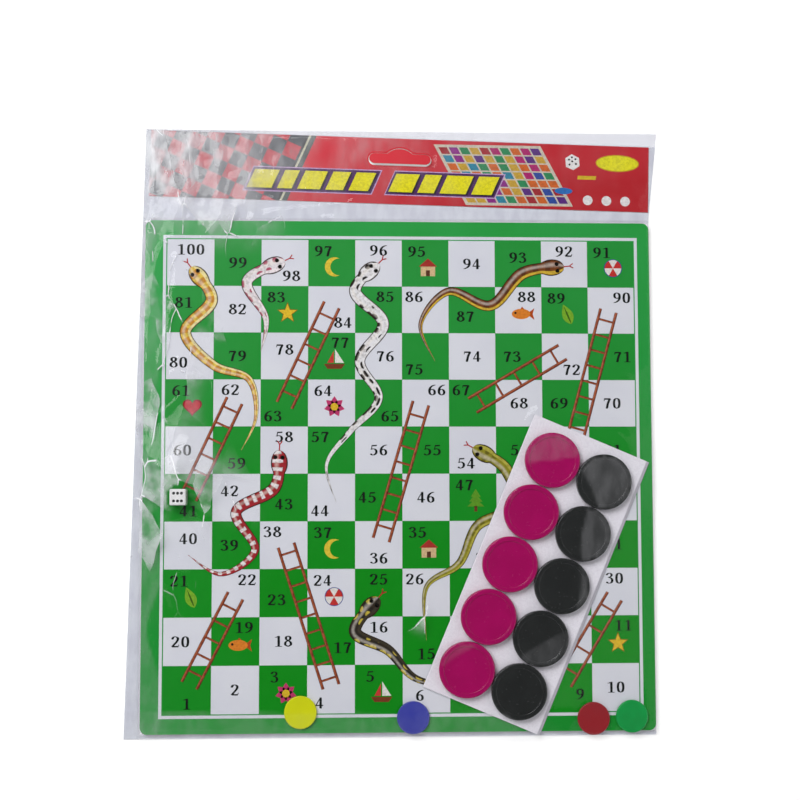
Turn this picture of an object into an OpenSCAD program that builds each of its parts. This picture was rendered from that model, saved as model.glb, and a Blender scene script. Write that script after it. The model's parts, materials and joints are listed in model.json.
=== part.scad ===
// Bagged board game set: a snakes and ladders board in a clear bag with a header card,
// and a folded card of draughts, four counters and a die lying loose on the board.
// Millimetres. The bag lies on its back: +Z out of the printed face, +Y towards the header card.
// The origin is the middle of the bag's underside.

/* [Board] */
// Side of the square board
board_w = 254; // [230:1:300]
// Radius of the board's corners
board_corner_r = 3.4; // [1:0.1:10]
// Thickness of the grey card core
core_t = 1.6; // [1:0.1:3]
// Thickness of each printed paper
paper_t = 0.15; // [0.1:0.01:0.4]
// Thickness of a printed layer
ink_t = 0.04; // [0.02:0.01:0.1]

/* [Snakes and ladders face] */
// Squares along one side of the game
squares = 10; // [8:1:12]
// Distance from the squares to the board's edges
print_margin = 9.5; // [6:0.1:30]
// Width of the white frame line round the squares
frame_line_w = 1.5; // [0.6:0.1:3]
// Gap between the frame line and the squares
frame_gap = 0.5; // [0.2:0.1:1.5]
// How far the print sits to the right of the board's middle
print_shift_x = 1.4; // [0:0.1:3]
// Half the hairline left between neighbouring squares
square_trap = 0.05; // [0.02:0.01:0.2]
// Distance between a ladder's rails, on centres
ladder_w = 8.2; // [5:0.1:12]
// Width of a ladder's rails
rail_w = 1.5; // [0.6:0.1:3]
// Width of a ladder's rungs
rung_w = 1.1; // [0.5:0.1:2]
// Distance between rungs
rung_step = 7.2; // [4:0.1:12]
// Width of a snake's body at its thickest
snake_w = 6.6; // [3:0.1:9]
// Width of a snake's head
snake_head_w = 8.4; // [4:0.1:12]
// Length of a snake's head
snake_head_l = 13; // [8:0.5:20]
// Distance from a snake's nose to its full width
neck_l = 22; // [14:0.5:40]

/* [Draughts face] */
// Squares along one side of the draughts board on the back
draughts_squares = 8; // [8:2:12]
// Distance from the squares on the back to the board's edges
back_margin = 13; // [6:0.1:40]
// Width of the line round the draughts squares
back_line_w = 1.2; // [0.6:0.1:3]
// Gap between that line and the squares
back_line_gap = 2; // [0.5:0.1:4]

/* [Bag] */
// Thickness of the film
film_t = 0.08; // [0.05:0.01:0.2]
// Room between the board and the bag's sides where they come closest
side_room = 0.5; // [0.5:0.1:10]
// How far the bag's left side leans out from its top to its foot
bag_lean = 7.5; // [0:0.5:12]
// How far the bag's right side leans out beside the header card
bag_flare = 4.8; // [2:0.1:10]
// Room under the board's lower edge
foot_room = 2.5; // [2.5:0.1:20]
// Room between the board and the header card's lowest corner
header_gap = 6; // [2:0.5:30]
// Room over the header card's highest corner
head_room = 0.5; // [0.3:0.1:20]
// Clear space between the film and what lies under it
film_gap = 0.3; // [0.2:0.05:1]
// How far the film takes to come down to the bag's back round a tall piece
tent_run = 20; // [10:1:40]

/* [Header card] */
// How much narrower than the board the header card is
header_shy = 0.8; // [0:0.2:30]
// Height of the header card
header_h = 33.8; // [28:0.2:60]
// Thickness of the header card
header_t = 0.4; // [0.25:0.05:0.8]
// Turn of the header card in the bag, clockwise
header_turn = 1.5; // [0:0.1:3]
// How far the header card sits to the right of the board's middle
header_shift_x = 1.2; // [0:0.1:1.5]
// Length of the hang slot
slot_w = 32; // [28:0.5:42]
// Height of the hang slot's straight part
slot_h = 6.3; // [5:0.1:8]
// Width of the slot's dome
dome_w = 13; // [8:0.5:18]
// Height of the dome over the straight part
dome_h = 2.7; // [1.5:0.1:5]
// Distance from the header card's top edge to the dome
slot_drop = 5; // [3:0.1:10]
// How far the slot sits left of the header card's middle
slot_shift_x = 0.8; // [0:0.1:5]
// Cut round the tab that fills the slot
tab_gap = 0.4; // [0.3:0.05:0.8]
// Lift of the tab out of the card, in degrees
tab_lift = 12; // [0:1:30]
// Cut in the film beyond the slot
film_cut = 0.6; // [0.3:0.1:2]

/* [Draughts pack] */
// Diameter of a draught
draught_d = 27.6; // [26:0.1:28.4]
// Thickness of a draught
draught_t = 3.6; // [2.5:0.1:6]
// Width of a draught's raised rim
rim_w = 2.4; // [1:0.1:4]
// Height of the rim over the face inside it
rim_h = 0.5; // [0.2:0.1:1]
// Rounding of the rim's edges
rim_r = 0.45; // [0.2:0.05:0.8]
// Gap between neighbouring draughts
draught_gap = 0.3; // [0.2:0.1:2]
// Draughts in one column of the card
draught_rows = 5; // [3:1:5]
// Margin of the card beside the draughts
card_side = 2.9; // [1:0.1:6]
// Margin of the card over the draughts
card_head = 4.3; // [2:0.1:8]
// Margin of the card under the draughts
card_foot = 2.2; // [2:0.1:8]
// Thickness of the folded card's paperboard
card_t = 0.35; // [0.2:0.05:0.6]
// Space between the folded card's leaves
fold_gap = 0.3; // [0.1:0.05:1]
// How far the back leaf shows past the front leaf
back_leaf_show = 1.2; // [0.2:0.1:4]
// Turn of the pack on the board, clockwise
pack_turn = 22.8; // [20:0.1:28]
// Room from the pack's right corner to the board's right edge
pack_right_room = 1.6; // [0.6:0.1:10]
// Room from the pack's lowest corner to the bag's lower edge
pack_foot_room = 0.6; // [0.6:0.1:10]

/* [Counters and die] */
// Diameter of a counter
counter_d = 16; // [12:0.5:18]
// Thickness of a counter
counter_t = 1.6; // [1:0.1:3]
// Rounding of a counter's edges
counter_r = 0.5; // [0.2:0.05:0.8]
// Distance from the board's lower edge up to the yellow counter
yellow_rise = 2.3; // [0:0.1:10]
// How far the blue counter reaches past the board's lower edge
blue_overhang = 0.7; // [0:0.1:1.8]
// How far the red counter reaches past the board's lower edge
red_overhang = 1.8; // [0:0.1:1.8]
// How far the green counter reaches past the board's lower edge
green_overhang = 0.9; // [0:0.1:1.8]
// Distance from the green counter to the board's right edge
counter_right_room = 4.2; // [2:0.1:10]
// Distance between the red and the green counter, across the board
counter_space = 3.1; // [1:0.1:10]
// Distance from the pack's left corner to the middle of the blue counter
blue_left = 4.8; // [2:0.1:12]
// Distance from the middle of the print to the middle of the yellow counter
yellow_left = 50.2; // [40:0.1:80]
// Side of the die
die_w = 8; // [6:0.5:10]
// How much the die's corners are rounded off
die_corner = 0.85; // [0.2:0.05:1.2]
// Diameter of a pip
pip_d = 1.5; // [0.8:0.1:1.7]
// Depth of a pip
pip_depth = 0.35; // [0.15:0.05:0.6]
// Distance between neighbouring pips
pip_step = 1.9; // [1.8:0.05:2.1]
// Distance from the board's left edge to the die
die_left_room = 14.2; // [6:0.1:40]
// Distance from the middle of the board down to the die
die_drop = 11.5; // [0:0.1:60]

/* [Play under the film] */
// How far the die can slide each way
die_play = 6; // [0:1:15]
// How far a counter can slide each way
counter_play = 10; // [0:1:12]
// How far the draughts pack can slide up the board
pack_play = 12; // [0:1:30]
// How far a draught can lift off its card
draught_lift = 1.2; // [0.2:0.1:3]
// Clear space under a loose piece
rest_gap = 0.02; // [0.01:0.01:0.1]

/* [Hidden] */
$fa = 4;
$fs = 0.4;
overcut = 1;

// Heights of the stacked layers, from the bag's underside
back_ink_z = film_t;
back_paper_z = back_ink_z + ink_t;
core_z = back_paper_z + paper_t;
front_paper_z = core_z + core_t;
white_z = front_paper_z + paper_t;
ladder_z = white_z + ink_t;
snake_z = ladder_z + ink_t;
loose_z = snake_z + ink_t + rest_gap;
front_leaf_z = loose_z + card_t + fold_gap;
draught_z = front_leaf_z + card_t + rest_gap;

// The bag takes its size from what lies in it
header_w = board_w - header_shy;
header_span_y = header_h * cos(header_turn) + header_w * sin(header_turn);
bag_h = foot_room + board_w + header_gap + header_span_y + head_room;

// Places
board_x = (bag_lean - bag_flare) / 2;
board_y = -bag_h / 2 + foot_room + board_w / 2;
board_left = board_x - board_w / 2;
board_right = board_x + board_w / 2;
bag_top_left = board_left - side_room;
bag_foot_left = bag_top_left - bag_lean;
bag_right = board_right + side_room;
bag_top_right = bag_right + bag_flare;
header_x = board_x + header_shift_x;
board_bottom = board_y - board_w / 2;
knee_y = board_y + board_w / 2 + header_gap / 2;
header_y = bag_h / 2 - head_room - header_span_y / 2;
game_w = board_w - 2 * print_margin;
square_w = game_w / squares;
frame_w = game_w + 2 * (frame_gap + frame_line_w);
back_game_w = board_w - 2 * back_margin;
draughts_square_w = back_game_w / draughts_squares;
back_frame_w = back_game_w + 2 * (back_line_gap + back_line_w);

// Hang slot, in the header card's own plane
dome_r = (dome_h * dome_h + dome_w * dome_w / 4) / (2 * dome_h);
slot_y = header_h / 2 - slot_drop - dome_h - slot_h / 2;
hinge_y = slot_y + slot_h / 2 + dome_h;

// Draughts pack
draught_pitch = draught_d + draught_gap;
card_w = 2 * draught_d + draught_gap + 2 * card_side;
card_l = draught_rows * draught_pitch - draught_gap + card_head + card_foot;
pack_w = card_w + back_leaf_show;
fold_r = card_t + fold_gap / 2;
pack_span_x = pack_w * cos(pack_turn) + card_l * sin(pack_turn);
pack_span_y = card_l * cos(pack_turn) + pack_w * sin(pack_turn);
pack_x = board_right - pack_right_room - pack_span_x / 2;
pack_y = -bag_h / 2 + pack_foot_room + pack_span_y / 2;
pack_left_x = pack_x - pack_span_x / 2;

// Counters and die
counter_low_y = board_bottom + counter_d / 2;
green_place = [board_right - counter_right_room - counter_d / 2, counter_low_y - green_overhang];
red_place = [green_place[0] - counter_d - counter_space, counter_low_y - red_overhang];
blue_place = [pack_left_x - blue_left, counter_low_y - blue_overhang];
yellow_place = [board_x + print_shift_x - yellow_left, counter_low_y + yellow_rise];
die_x = board_left + die_left_room + die_w / 2;
die_y = board_y - die_drop;
die_round_r = die_w / 2 * sqrt(3) - die_corner;

// Heights of the film's inner face over what it covers
film_low_z = film_t + header_t + film_gap;
film_card_z = front_leaf_z + card_t + film_gap;
film_mid_z = max(loose_z + counter_t + film_gap, film_card_z);
film_pack_z = draught_z + draught_t + draught_lift + film_gap;
film_die_z = loose_z + die_w + film_gap;

// Ladders, each from its foot to its head, in squares from the game's lower left corner
LADDERS = [
    [[0.55, 0.6], [1.5, 2.45]],
    [[3.5, 0.55], [2.55, 3.5]],
    [[8.4, 0.6], [9.5, 2.4]],
    [[0.5, 4.5], [1.45, 6.55]],
    [[4.55, 3.6], [5.4, 6.5]],
    [[2.5, 6.45], [3.5, 8.6]],
    [[6.5, 6.45], [8.45, 7.6]],
    [[8.6, 5.4], [9.45, 8.5]]
];

// Snakes, each from its head to its tail, in the same squares
SNAKES = [
    [[0.5, 9.4], [0.95, 8.7], [0.4, 8.0], [1.0, 7.3], [1.75, 7.0], [1.9, 6.2], [1.6, 5.5]],
    [[2.5, 9.55], [1.7, 9.1], [2.1, 8.3], [2.0, 7.6]],
    [[4.5, 9.5], [4.0, 8.9], [4.6, 8.2], [4.1, 7.4], [4.5, 6.6], [3.9, 5.9], [3.4, 5.2], [3.6, 4.4]],
    [[8.5, 9.45], [7.6, 9.3], [6.9, 8.6], [6.0, 8.9], [5.4, 8.2], [5.7, 7.4]],
    [[6.5, 5.55], [7.2, 5.1], [7.4, 4.3], [6.6, 3.9], [6.2, 3.1], [5.5, 2.6], [5.5, 1.5]],
    [[2.4, 5.5], [2.3, 4.7], [1.5, 4.2], [1.9, 3.4], [1.2, 2.9], [0.5, 3.3]],
    [[4.5, 2.4], [4.0, 1.7], [4.7, 1.3], [5.3, 0.7], [6.4, 0.5]]
];
path_steps = 8;
neck_share = 0.72;

// A smooth curve through the points of a list
function curve_point(a, b, c, d, t) =
    0.5 * (2 * b + (c - a) * t + (2 * a - 5 * b + 4 * c - d) * t * t + (3 * b - a - 3 * c + d) * t * t * t);

function curve(points) =
    let (n = len(points) - 1)
    [for (i = [0:n - 1]) for (k = [0:path_steps - 1])
        curve_point(points[max(i - 1, 0)], points[i], points[i + 1], points[min(i + 2, n)], k / path_steps),
     points[n]];

// Distance along a curve at each of its points
function run(path) =
    [for (i = 0, s = 0; i < len(path); s = s + norm(path[min(i + 1, len(path) - 1)] - path[i]), i = i + 1) s];

// Half the width of a snake at a distance from its nose
function snake_half(s, length) =
    let (head = snake_head_w / 2 * sqrt(max(0, 1 - pow(2 * s / snake_head_l - 1, 2))))
    let (neck = neck_share + (1 - neck_share) * min(1, s / neck_l))
    let (body = snake_w / 2 * neck * (1 - pow(s / length, 2)))
    s < snake_head_l / 2 ? head : max(head, body);

function across(path, i) =
    let (d = path[min(i + 1, len(path) - 1)] - path[max(i - 1, 0)])
    [-d[1], d[0]] / norm(d);

// Outline of a snake: nose, left side, tail, right side
function snake_outline(path) =
    let (s = run(path), n = len(path) - 1)
    concat(
        [path[0]],
        [for (i = [1:n - 1]) path[i] + across(path, i) * snake_half(s[i], s[n])],
        [path[n]],
        [for (i = [n - 1:-1:1]) path[i] - across(path, i) * snake_half(s[i], s[n])]);

// Flat outlines

module rounded_square(w, r) {
    square([w, w - 2 * r], center = true);
    square([w - 2 * r, w], center = true);
    for (x = [-1, 1]) for (y = [-1, 1])
        translate([x, y] * (w / 2 - r)) circle(r);
}

module ring_line(outer_w, line_w) {
    difference() {
        square(outer_w, center = true);
        square(outer_w - 2 * line_w, center = true);
    }
}

// The bag's right side is upright along the board, and leans out from the knee beside the header card
module bag_outline(inset = 0) {
    h = bag_h / 2 - inset;
    polygon([[bag_foot_left + inset, -h], [bag_right - inset, -h], [bag_right - inset, knee_y],
             [bag_top_right - inset, h], [bag_top_left + inset, h]]);
}

module slot_outline(grow = 0) {
    r = slot_h / 2 + grow;
    square([slot_w - slot_h, 2 * r], center = true);
    for (x = [-1, 1])
        translate([x * (slot_w - slot_h) / 2, 0]) circle(r);
    intersection() {
        translate([0, slot_h / 2 + dome_h - dome_r]) circle(dome_r + grow);
        translate([-slot_w / 2, 0]) square([slot_w, slot_h + dome_h + grow]);
    }
}

module ladder(foot, head) {
    d = head - foot;
    length = norm(d);
    rungs = floor((length - rung_step) / rung_step);
    first = (length - rungs * rung_step) / 2;
    translate(foot) rotate(atan2(d[1], d[0])) {
        for (side = [-1, 1])
            translate([0, side * ladder_w / 2 - rail_w / 2]) square([length, rail_w]);
        for (i = [0:rungs])
            translate([first + i * rung_step - rung_w / 2, -ladder_w / 2]) square([rung_w, ladder_w]);
    }
}

// Places of groups

module on_header() {
    translate([header_x, header_y, film_t]) rotate(-header_turn) children();
}

module at_slot() {
    translate([-slot_shift_x, slot_y, 0]) children();
}

module on_board(z) {
    translate([board_x, board_y, z]) children();
}

module in_game() {
    translate([print_shift_x - game_w / 2, -game_w / 2]) children();
}

module on_pack() {
    translate([pack_x, pack_y]) rotate(-pack_turn) children();
}

// Bag

module bag_back_film() {
    color("#E9EEF2", 0.4)
    difference() {
        linear_extrude(film_t) bag_outline();
        slot_cut();
    }
}

module slot_cut() {
    on_header() at_slot()
        translate([0, 0, -film_t - overcut])
            linear_extrude(film_mid_z + 2 * overcut) slot_outline(film_cut);
}

// The space under the front film, or with the film's thickness added
module film_space(skin) {
    intersection() {
        film_layer(film_mid_z + overcut) bag_outline(film_t - skin);
        hull() {
            film_layer(film_t + skin) bag_outline(film_t - skin);
            film_layer(film_low_z + skin) header_patch(film_gap + skin);
            film_layer(film_mid_z + skin) board_patch(film_gap + skin);
            film_layer(film_card_z + skin) card_patch(film_gap + skin);
        }
    }
    tent(film_pack_z, skin) draughts_patch();
    tent(film_die_z, skin) die_patch();
}

// A layer from the back film up to a height
module film_layer(top) {
    translate([0, 0, film_t]) linear_extrude(top - film_t + film_t / 2) children();
}

// The film drawn over tall pieces, down to the bag's back
module tent(top, skin) {
    hull() {
        film_layer(top + skin) offset(film_gap + skin) children();
        film_layer(film_t + skin) intersection() {
            offset(tent_run + skin) children();
            bag_outline(film_t - skin);
        }
    }
}

module header_patch(grow) {
    translate([header_x, header_y]) rotate(-header_turn)
        square([header_w + 2 * grow, header_h + 2 * grow], center = true);
}

// The board with the ways of the counters that overhang it
module board_patch(grow) {
    translate([board_x, board_y]) square(board_w + 2 * grow, center = true);
    for (place = [yellow_place, blue_place]) for (x = [-counter_play, counter_play])
        translate([place[0] + x, place[1]]) circle(counter_d / 2 + grow);
    for (place = [red_place, green_place])
        translate(place) circle(counter_d / 2 + grow);
}

// The ways of the folded card, the draughts and the die

module card_patch(grow) {
    for (y = [0, pack_play])
        translate([pack_x, pack_y + y]) rotate(-pack_turn)
            square([pack_w + 2 * grow, card_l + 2 * grow], center = true);
}

module draughts_patch() {
    for (y = [0, pack_play]) for (column = [0, 1]) for (row = [0, draught_rows - 1])
        translate([0, y]) on_pack() translate(draught_place(column, row)) circle(draught_d / 2);
}

module die_patch() {
    translate([die_x, die_y]) square([die_w, die_w + 2 * die_play], center = true);
}

module bag_front_film() {
    color("#E9EEF2", 0.25)
    difference() {
        film_space(film_t);
        film_space(0);
        slot_cut();
    }
}

// Header card and its tab

module header_card() {
    color("#B3242B")
    on_header() linear_extrude(header_t) difference() {
        square([header_w, header_h], center = true);
        at_slot() slot_outline();
    }
}

module hang_tab() {
    color("#B3242B")
    on_header() translate([-slot_shift_x, hinge_y, header_t / 2])
        rotate([-tab_lift, 0, 0])
            translate([0, slot_y - hinge_y, -header_t / 2])
                linear_extrude(header_t) slot_outline(-tab_gap);
}

// Board

module board_core() {
    color("#9A958C")
    on_board(core_z) linear_extrude(core_t) rounded_square(board_w, board_corner_r);
}

module board_front_print() {
    color("#168A28")
    on_board(front_paper_z) linear_extrude(paper_t) rounded_square(board_w, board_corner_r);
}

module white_squares() {
    color("#E4E2E8")
    on_board(white_z) linear_extrude(ink_t) {
        translate([print_shift_x, 0]) ring_line(frame_w, frame_line_w);
        in_game() for (row = [0:squares - 1]) for (col = [0:squares - 1])
            if ((row + col) % 2 == 1)
                translate([col, row] * square_w + [square_trap, square_trap])
                    square(square_w - 2 * square_trap);
    }
}

module ladders() {
    color("#A8562A")
    on_board(ladder_z) linear_extrude(ink_t)
        in_game() for (ends = LADDERS) ladder(ends[0] * square_w, ends[1] * square_w);
}

module snakes() {
    color("#B8A428")
    on_board(snake_z) linear_extrude(ink_t)
        in_game() for (points = SNAKES) polygon(snake_outline(curve(points * square_w)));
}

module board_back_print() {
    color("#A8282C")
    on_board(back_paper_z) linear_extrude(paper_t) rounded_square(board_w, board_corner_r);
}

module back_squares() {
    color("#2A2A2C")
    on_board(back_ink_z) linear_extrude(ink_t) {
        ring_line(back_frame_w, back_line_w);
        translate([-back_game_w / 2, -back_game_w / 2])
            for (row = [0:draughts_squares - 1]) for (col = [0:draughts_squares - 1])
                if ((row + col) % 2 == 0)
                    translate([col, row] * draughts_square_w + [square_trap, square_trap])
                        square(draughts_square_w - 2 * square_trap);
    }
}

// Draughts pack

// Section of the folded card: back leaf, round fold and front leaf
module card_section() {
    fold_x = -pack_w / 2 + fold_r;
    translate([fold_x, 0]) square([pack_w - fold_r, card_t]);
    translate([fold_x, card_t + fold_gap]) square([card_w - fold_r, card_t]);
    translate([fold_x, fold_r]) difference() {
        circle(fold_r);
        circle(fold_gap / 2);
        translate([0, -fold_r]) square(2 * fold_r);
    }
}

module draughts_card() {
    color("#E8E6EA")
    on_pack() translate([0, card_l / 2, loose_z])
        rotate([90, 0, 0]) linear_extrude(card_l) card_section();
}

// Half section of a draught: flat base, rounded edge, raised rim and sunk face
module draught_section() {
    r = draught_d / 2;
    top = draught_t;
    difference() {
        union() {
            square([r - rim_r, top]);
            translate([0, rim_r]) square([r, top - 2 * rim_r]);
            for (z = [rim_r, top - rim_r]) translate([r - rim_r, z]) circle(rim_r);
        }
        translate([-overcut, top - rim_h]) square([r - rim_w + overcut, rim_h + overcut]);
        translate([-r, -overcut]) square([r, top + 2 * overcut]);
    }
}

// Middle of a draught on the card: column 0 is on the left, row 0 at the top
function draught_place(column, row) = [
    -back_leaf_show / 2 + (column - 0.5) * draught_pitch,
    (card_foot - card_head) / 2 + ((draught_rows - 1) / 2 - row) * draught_pitch
];

module draught(column, row) {
    on_pack() translate(draught_place(column, row)) translate([0, 0, draught_z])
        rotate_extrude() draught_section();
}

module draught_magenta(row) {
    color("#9B0C58") draught(0, row);
}

module draught_black(row) {
    color("#26282A") draught(1, row);
}

// Counters

module counter(place) {
    translate([place[0], place[1], loose_z]) rotate_extrude() intersection() {
        union() {
            square([counter_d / 2 - counter_r, counter_t]);
            translate([0, counter_r]) square([counter_d / 2, counter_t - 2 * counter_r]);
            for (z = [counter_r, counter_t - counter_r])
                translate([counter_d / 2 - counter_r, z]) circle(counter_r);
        }
        square([counter_d, counter_t]);
    }
}

module counter_yellow() {
    color("#D8D21E") counter(yellow_place);
}

module counter_blue() {
    color("#2A2FA8") counter(blue_place);
}

module counter_red() {
    color("#A31F28") counter(red_place);
}

module counter_green() {
    color("#0C9A3E") counter(green_place);
}

// Die

// Places of the pips on one face, from 1 to 6
function pips(count) =
    let (one = [[0, 0]], two = [[-1, -1], [1, 1]], four = [[-1, -1], [1, 1], [-1, 1], [1, -1]])
    count == 1 ? one :
    count == 2 ? two :
    count == 3 ? concat(one, two) :
    count == 4 ? four :
    count == 5 ? concat(one, four) :
    concat(four, [[-1, 0], [1, 0]]);

// Sphere that cuts a pip of the set width and depth
pip_r = (pip_d * pip_d / 4 + pip_depth * pip_depth) / (2 * pip_depth);

module die_face(count) {
    for (place = pips(count))
        translate([place[1] * pip_step, place[0] * pip_step, die_w / 2 + pip_r - pip_depth])
            sphere(pip_r);
}

module die() {
    color("#F2F1EE")
    translate([die_x, die_y, loose_z + die_w / 2]) difference() {
        intersection() {
            cube(die_w, center = true);
            sphere(die_round_r);
        }
        die_face(6);
        rotate([180, 0, 0]) die_face(1);
        rotate([90, 0, 0]) die_face(5);
        rotate([-90, 0, 0]) die_face(2);
        rotate([0, 90, 0]) die_face(3);
        rotate([0, -90, 0]) die_face(4);
    }
}

bag_back_film();
bag_front_film();
header_card();
hang_tab();
board_core();
board_front_print();
white_squares();
ladders();
snakes();
board_back_print();
back_squares();
draughts_card();
for (i = [1:draught_rows]) {
    draught_magenta(i - 1);
    draught_black(i - 1);
}
counter_yellow();
counter_blue();
counter_red();
counter_green();
die();
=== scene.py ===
"""Bagged snakes and ladders set: prints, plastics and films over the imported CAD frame."""
import json
import math
from functools import partial

import bmesh
import bpy
import numpy as np
from bpy.props import FloatProperty, FloatVectorProperty, IntProperty, PointerProperty
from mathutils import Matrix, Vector
from mathutils.geometry import delaunay_2d_cdt

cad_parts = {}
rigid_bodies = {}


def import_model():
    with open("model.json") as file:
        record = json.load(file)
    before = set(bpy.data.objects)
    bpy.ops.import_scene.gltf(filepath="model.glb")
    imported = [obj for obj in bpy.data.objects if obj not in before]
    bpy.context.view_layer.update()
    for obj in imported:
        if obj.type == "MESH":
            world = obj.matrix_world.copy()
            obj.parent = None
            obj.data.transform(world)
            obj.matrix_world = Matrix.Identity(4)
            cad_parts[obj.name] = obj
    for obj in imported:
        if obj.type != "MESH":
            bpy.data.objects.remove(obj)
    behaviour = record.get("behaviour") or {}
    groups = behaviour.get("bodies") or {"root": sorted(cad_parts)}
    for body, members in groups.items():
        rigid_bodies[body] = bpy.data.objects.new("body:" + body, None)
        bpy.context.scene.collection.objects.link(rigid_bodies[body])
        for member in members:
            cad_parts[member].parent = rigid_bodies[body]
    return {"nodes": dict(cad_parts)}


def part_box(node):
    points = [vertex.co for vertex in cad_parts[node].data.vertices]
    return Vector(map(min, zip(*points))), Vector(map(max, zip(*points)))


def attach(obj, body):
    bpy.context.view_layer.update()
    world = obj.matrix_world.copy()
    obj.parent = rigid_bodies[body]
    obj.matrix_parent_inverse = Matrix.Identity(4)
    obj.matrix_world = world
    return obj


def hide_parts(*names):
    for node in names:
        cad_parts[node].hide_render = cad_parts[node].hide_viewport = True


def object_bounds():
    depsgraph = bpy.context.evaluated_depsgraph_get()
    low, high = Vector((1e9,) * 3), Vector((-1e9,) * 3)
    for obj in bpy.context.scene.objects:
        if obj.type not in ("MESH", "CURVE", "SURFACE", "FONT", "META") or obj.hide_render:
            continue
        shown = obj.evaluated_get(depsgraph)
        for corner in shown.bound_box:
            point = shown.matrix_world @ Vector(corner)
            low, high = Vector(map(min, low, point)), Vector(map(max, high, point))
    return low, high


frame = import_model()
CAD_BOX = [list(corner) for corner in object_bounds()]

bl_info = {
    "name": "Bagged board game set",
    "version": (1, 0, 0),
    "blender": (4, 5, 0),
    "location": "3D View > Sidebar > Game set",
    "description": "Dresses a bagged snakes and ladders set: prints, plastics, films and stage",
    "category": "Object",
}

MM = 0.001
ROOT = "bagged_board"


def middle_of(node):
    """Middle of a CAD node, in millimetres."""
    low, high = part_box(node)
    return tuple(float(a + b) / 2 / MM for a, b in zip(low, high))


def size_of(node, places=2):
    """Size of a CAD node, in millimetres. A round one has facets, so its box is taken to fewer places."""
    low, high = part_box(node)
    return tuple(round(float(b - a) / MM, places) for a, b in zip(low, high))


def heights_of(node):
    """Heights of a CAD node's underside and top, in millimetres."""
    return tuple(round(float(corner[2]) / MM, 2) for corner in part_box(node))


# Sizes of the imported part, in millimetres, in its own frame
BOARD_W = size_of("board_core")[0]
BOARD_X, BOARD_Y = middle_of("board_core")[:2]
PRINT_X = middle_of("white_squares")[0]
SQUARES = 10
SQUARE_W = 23.5
GAME_W = SQUARES * SQUARE_W
WHITE_TOP = heights_of("white_squares")[1]
LADDER_TOP = heights_of("ladders")[1]
SNAKE_TOP = heights_of("snakes")[1]
INK_T = size_of("snakes")[2]
INK_GAP = 0.002
LAYER_T = 0.006
BAG_H = float(CAD_BOX[1][1] - CAD_BOX[0][1]) / MM
BAG_ROOM = 0.5
KNEE_ROOM = 3.0
BAG_LEFT = (float(CAD_BOX[0][0]) / MM, BOARD_X - BOARD_W / 2 - BAG_ROOM)
BAG_RIGHT = (BOARD_X + BOARD_W / 2 + BAG_ROOM, float(CAD_BOX[1][0]) / MM)
KNEE_Y = BOARD_Y + BOARD_W / 2 + KNEE_ROOM
HEADER_PLACE = middle_of("header_card")[:2]
HEADER_TURN = math.radians(-1.5)
HEADER_SIZE = (253.2, 33.8)
HEADER_TOP = heights_of("header_card")[1]
SLOT_PLACE = (-0.8, 6.05)
SLOT_W = 32.0
SLOT_H = 6.3
DOME_W = 13.0
DOME_H = 2.7
PACK_PLACE = middle_of("draughts_card")[:2]
PACK_TURN = math.radians(-22.8)
PACK_SIZE = (62.5, 145.7)
LOOSE_LOW, PACK_TOP = heights_of("draughts_card")
PACK_PLAY = 12.0
DRAUGHTS = [f"draught_{side}_{row}" for side in ("magenta", "black") for row in range(1, 6)]
DRAUGHT_D = size_of(DRAUGHTS[0], 1)[0]
DRAUGHT_T = size_of(DRAUGHTS[0])[2]
DRAUGHT_LOW = heights_of(DRAUGHTS[0])[0]
DRAUGHT_LIFT = 1.2
COUNTERS = ("yellow", "blue", "red", "green")
COUNTER_D = size_of("counter_yellow", 1)[0]
COUNTER_TOP = heights_of("counter_yellow")[1]
COUNTER_PLAY = 10.0
DIE_PLACE = middle_of("die")[:2]
DIE_W = size_of("die")[0]
DIE_PLAY = 6.0

# Ladders from foot to head and snakes from head to tail, in squares from the game's lower left corner
LADDERS = [
    [(0.55, 0.6), (1.5, 2.45)],
    [(3.5, 0.55), (2.55, 3.5)],
    [(8.4, 0.6), (9.5, 2.4)],
    [(0.5, 4.5), (1.45, 6.55)],
    [(4.55, 3.6), (5.4, 6.5)],
    [(2.5, 6.45), (3.5, 8.6)],
    [(6.5, 6.45), (8.45, 7.6)],
    [(8.6, 5.4), (9.45, 8.5)],
]
SNAKES = [
    [(0.5, 9.4), (0.95, 8.7), (0.4, 8.0), (1.0, 7.3), (1.75, 7.0), (1.9, 6.2), (1.6, 5.5)],
    [(2.5, 9.55), (1.7, 9.1), (2.1, 8.3), (2.0, 7.6)],
    [(4.5, 9.5), (4.0, 8.9), (4.6, 8.2), (4.1, 7.4), (4.5, 6.6), (3.9, 5.9), (3.4, 5.2), (3.6, 4.4)],
    [(8.5, 9.45), (7.6, 9.3), (6.9, 8.6), (6.0, 8.9), (5.4, 8.2), (5.7, 7.4)],
    [(6.5, 5.55), (7.2, 5.1), (7.4, 4.3), (6.6, 3.9), (6.2, 3.1), (5.5, 2.6), (5.5, 1.5)],
    [(2.4, 5.5), (2.3, 4.7), (1.5, 4.2), (1.9, 3.4), (1.2, 2.9), (0.5, 3.3)],
    [(4.5, 2.4), (4.0, 1.7), (4.7, 1.3), (5.3, 0.7), (6.4, 0.5)],
]
LADDER_W = 8.2
RAIL_W = 1.5
RUNG_W = 1.1
RUNG_STEP = 7.2
RUNG_SHARE = 0.8
SNAKE_W = 6.6
SNAKE_HEAD_W = 8.4
SNAKE_HEAD_L = 13.0
NECK_SHARE = 0.72
NECK_L = 22.0
PATH_STEPS = 20
COARSE_STEPS = 6

# Grain of coated paper, drawn coarser than it is so that it shows, in millimetres, and its depth in metres
PAPER_GRAIN = 0.8
GRAIN_DEPTH = 4e-6
# Specular level of varnished ink and paper that lie under film
PRINT_SHEEN = 0.12
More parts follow.
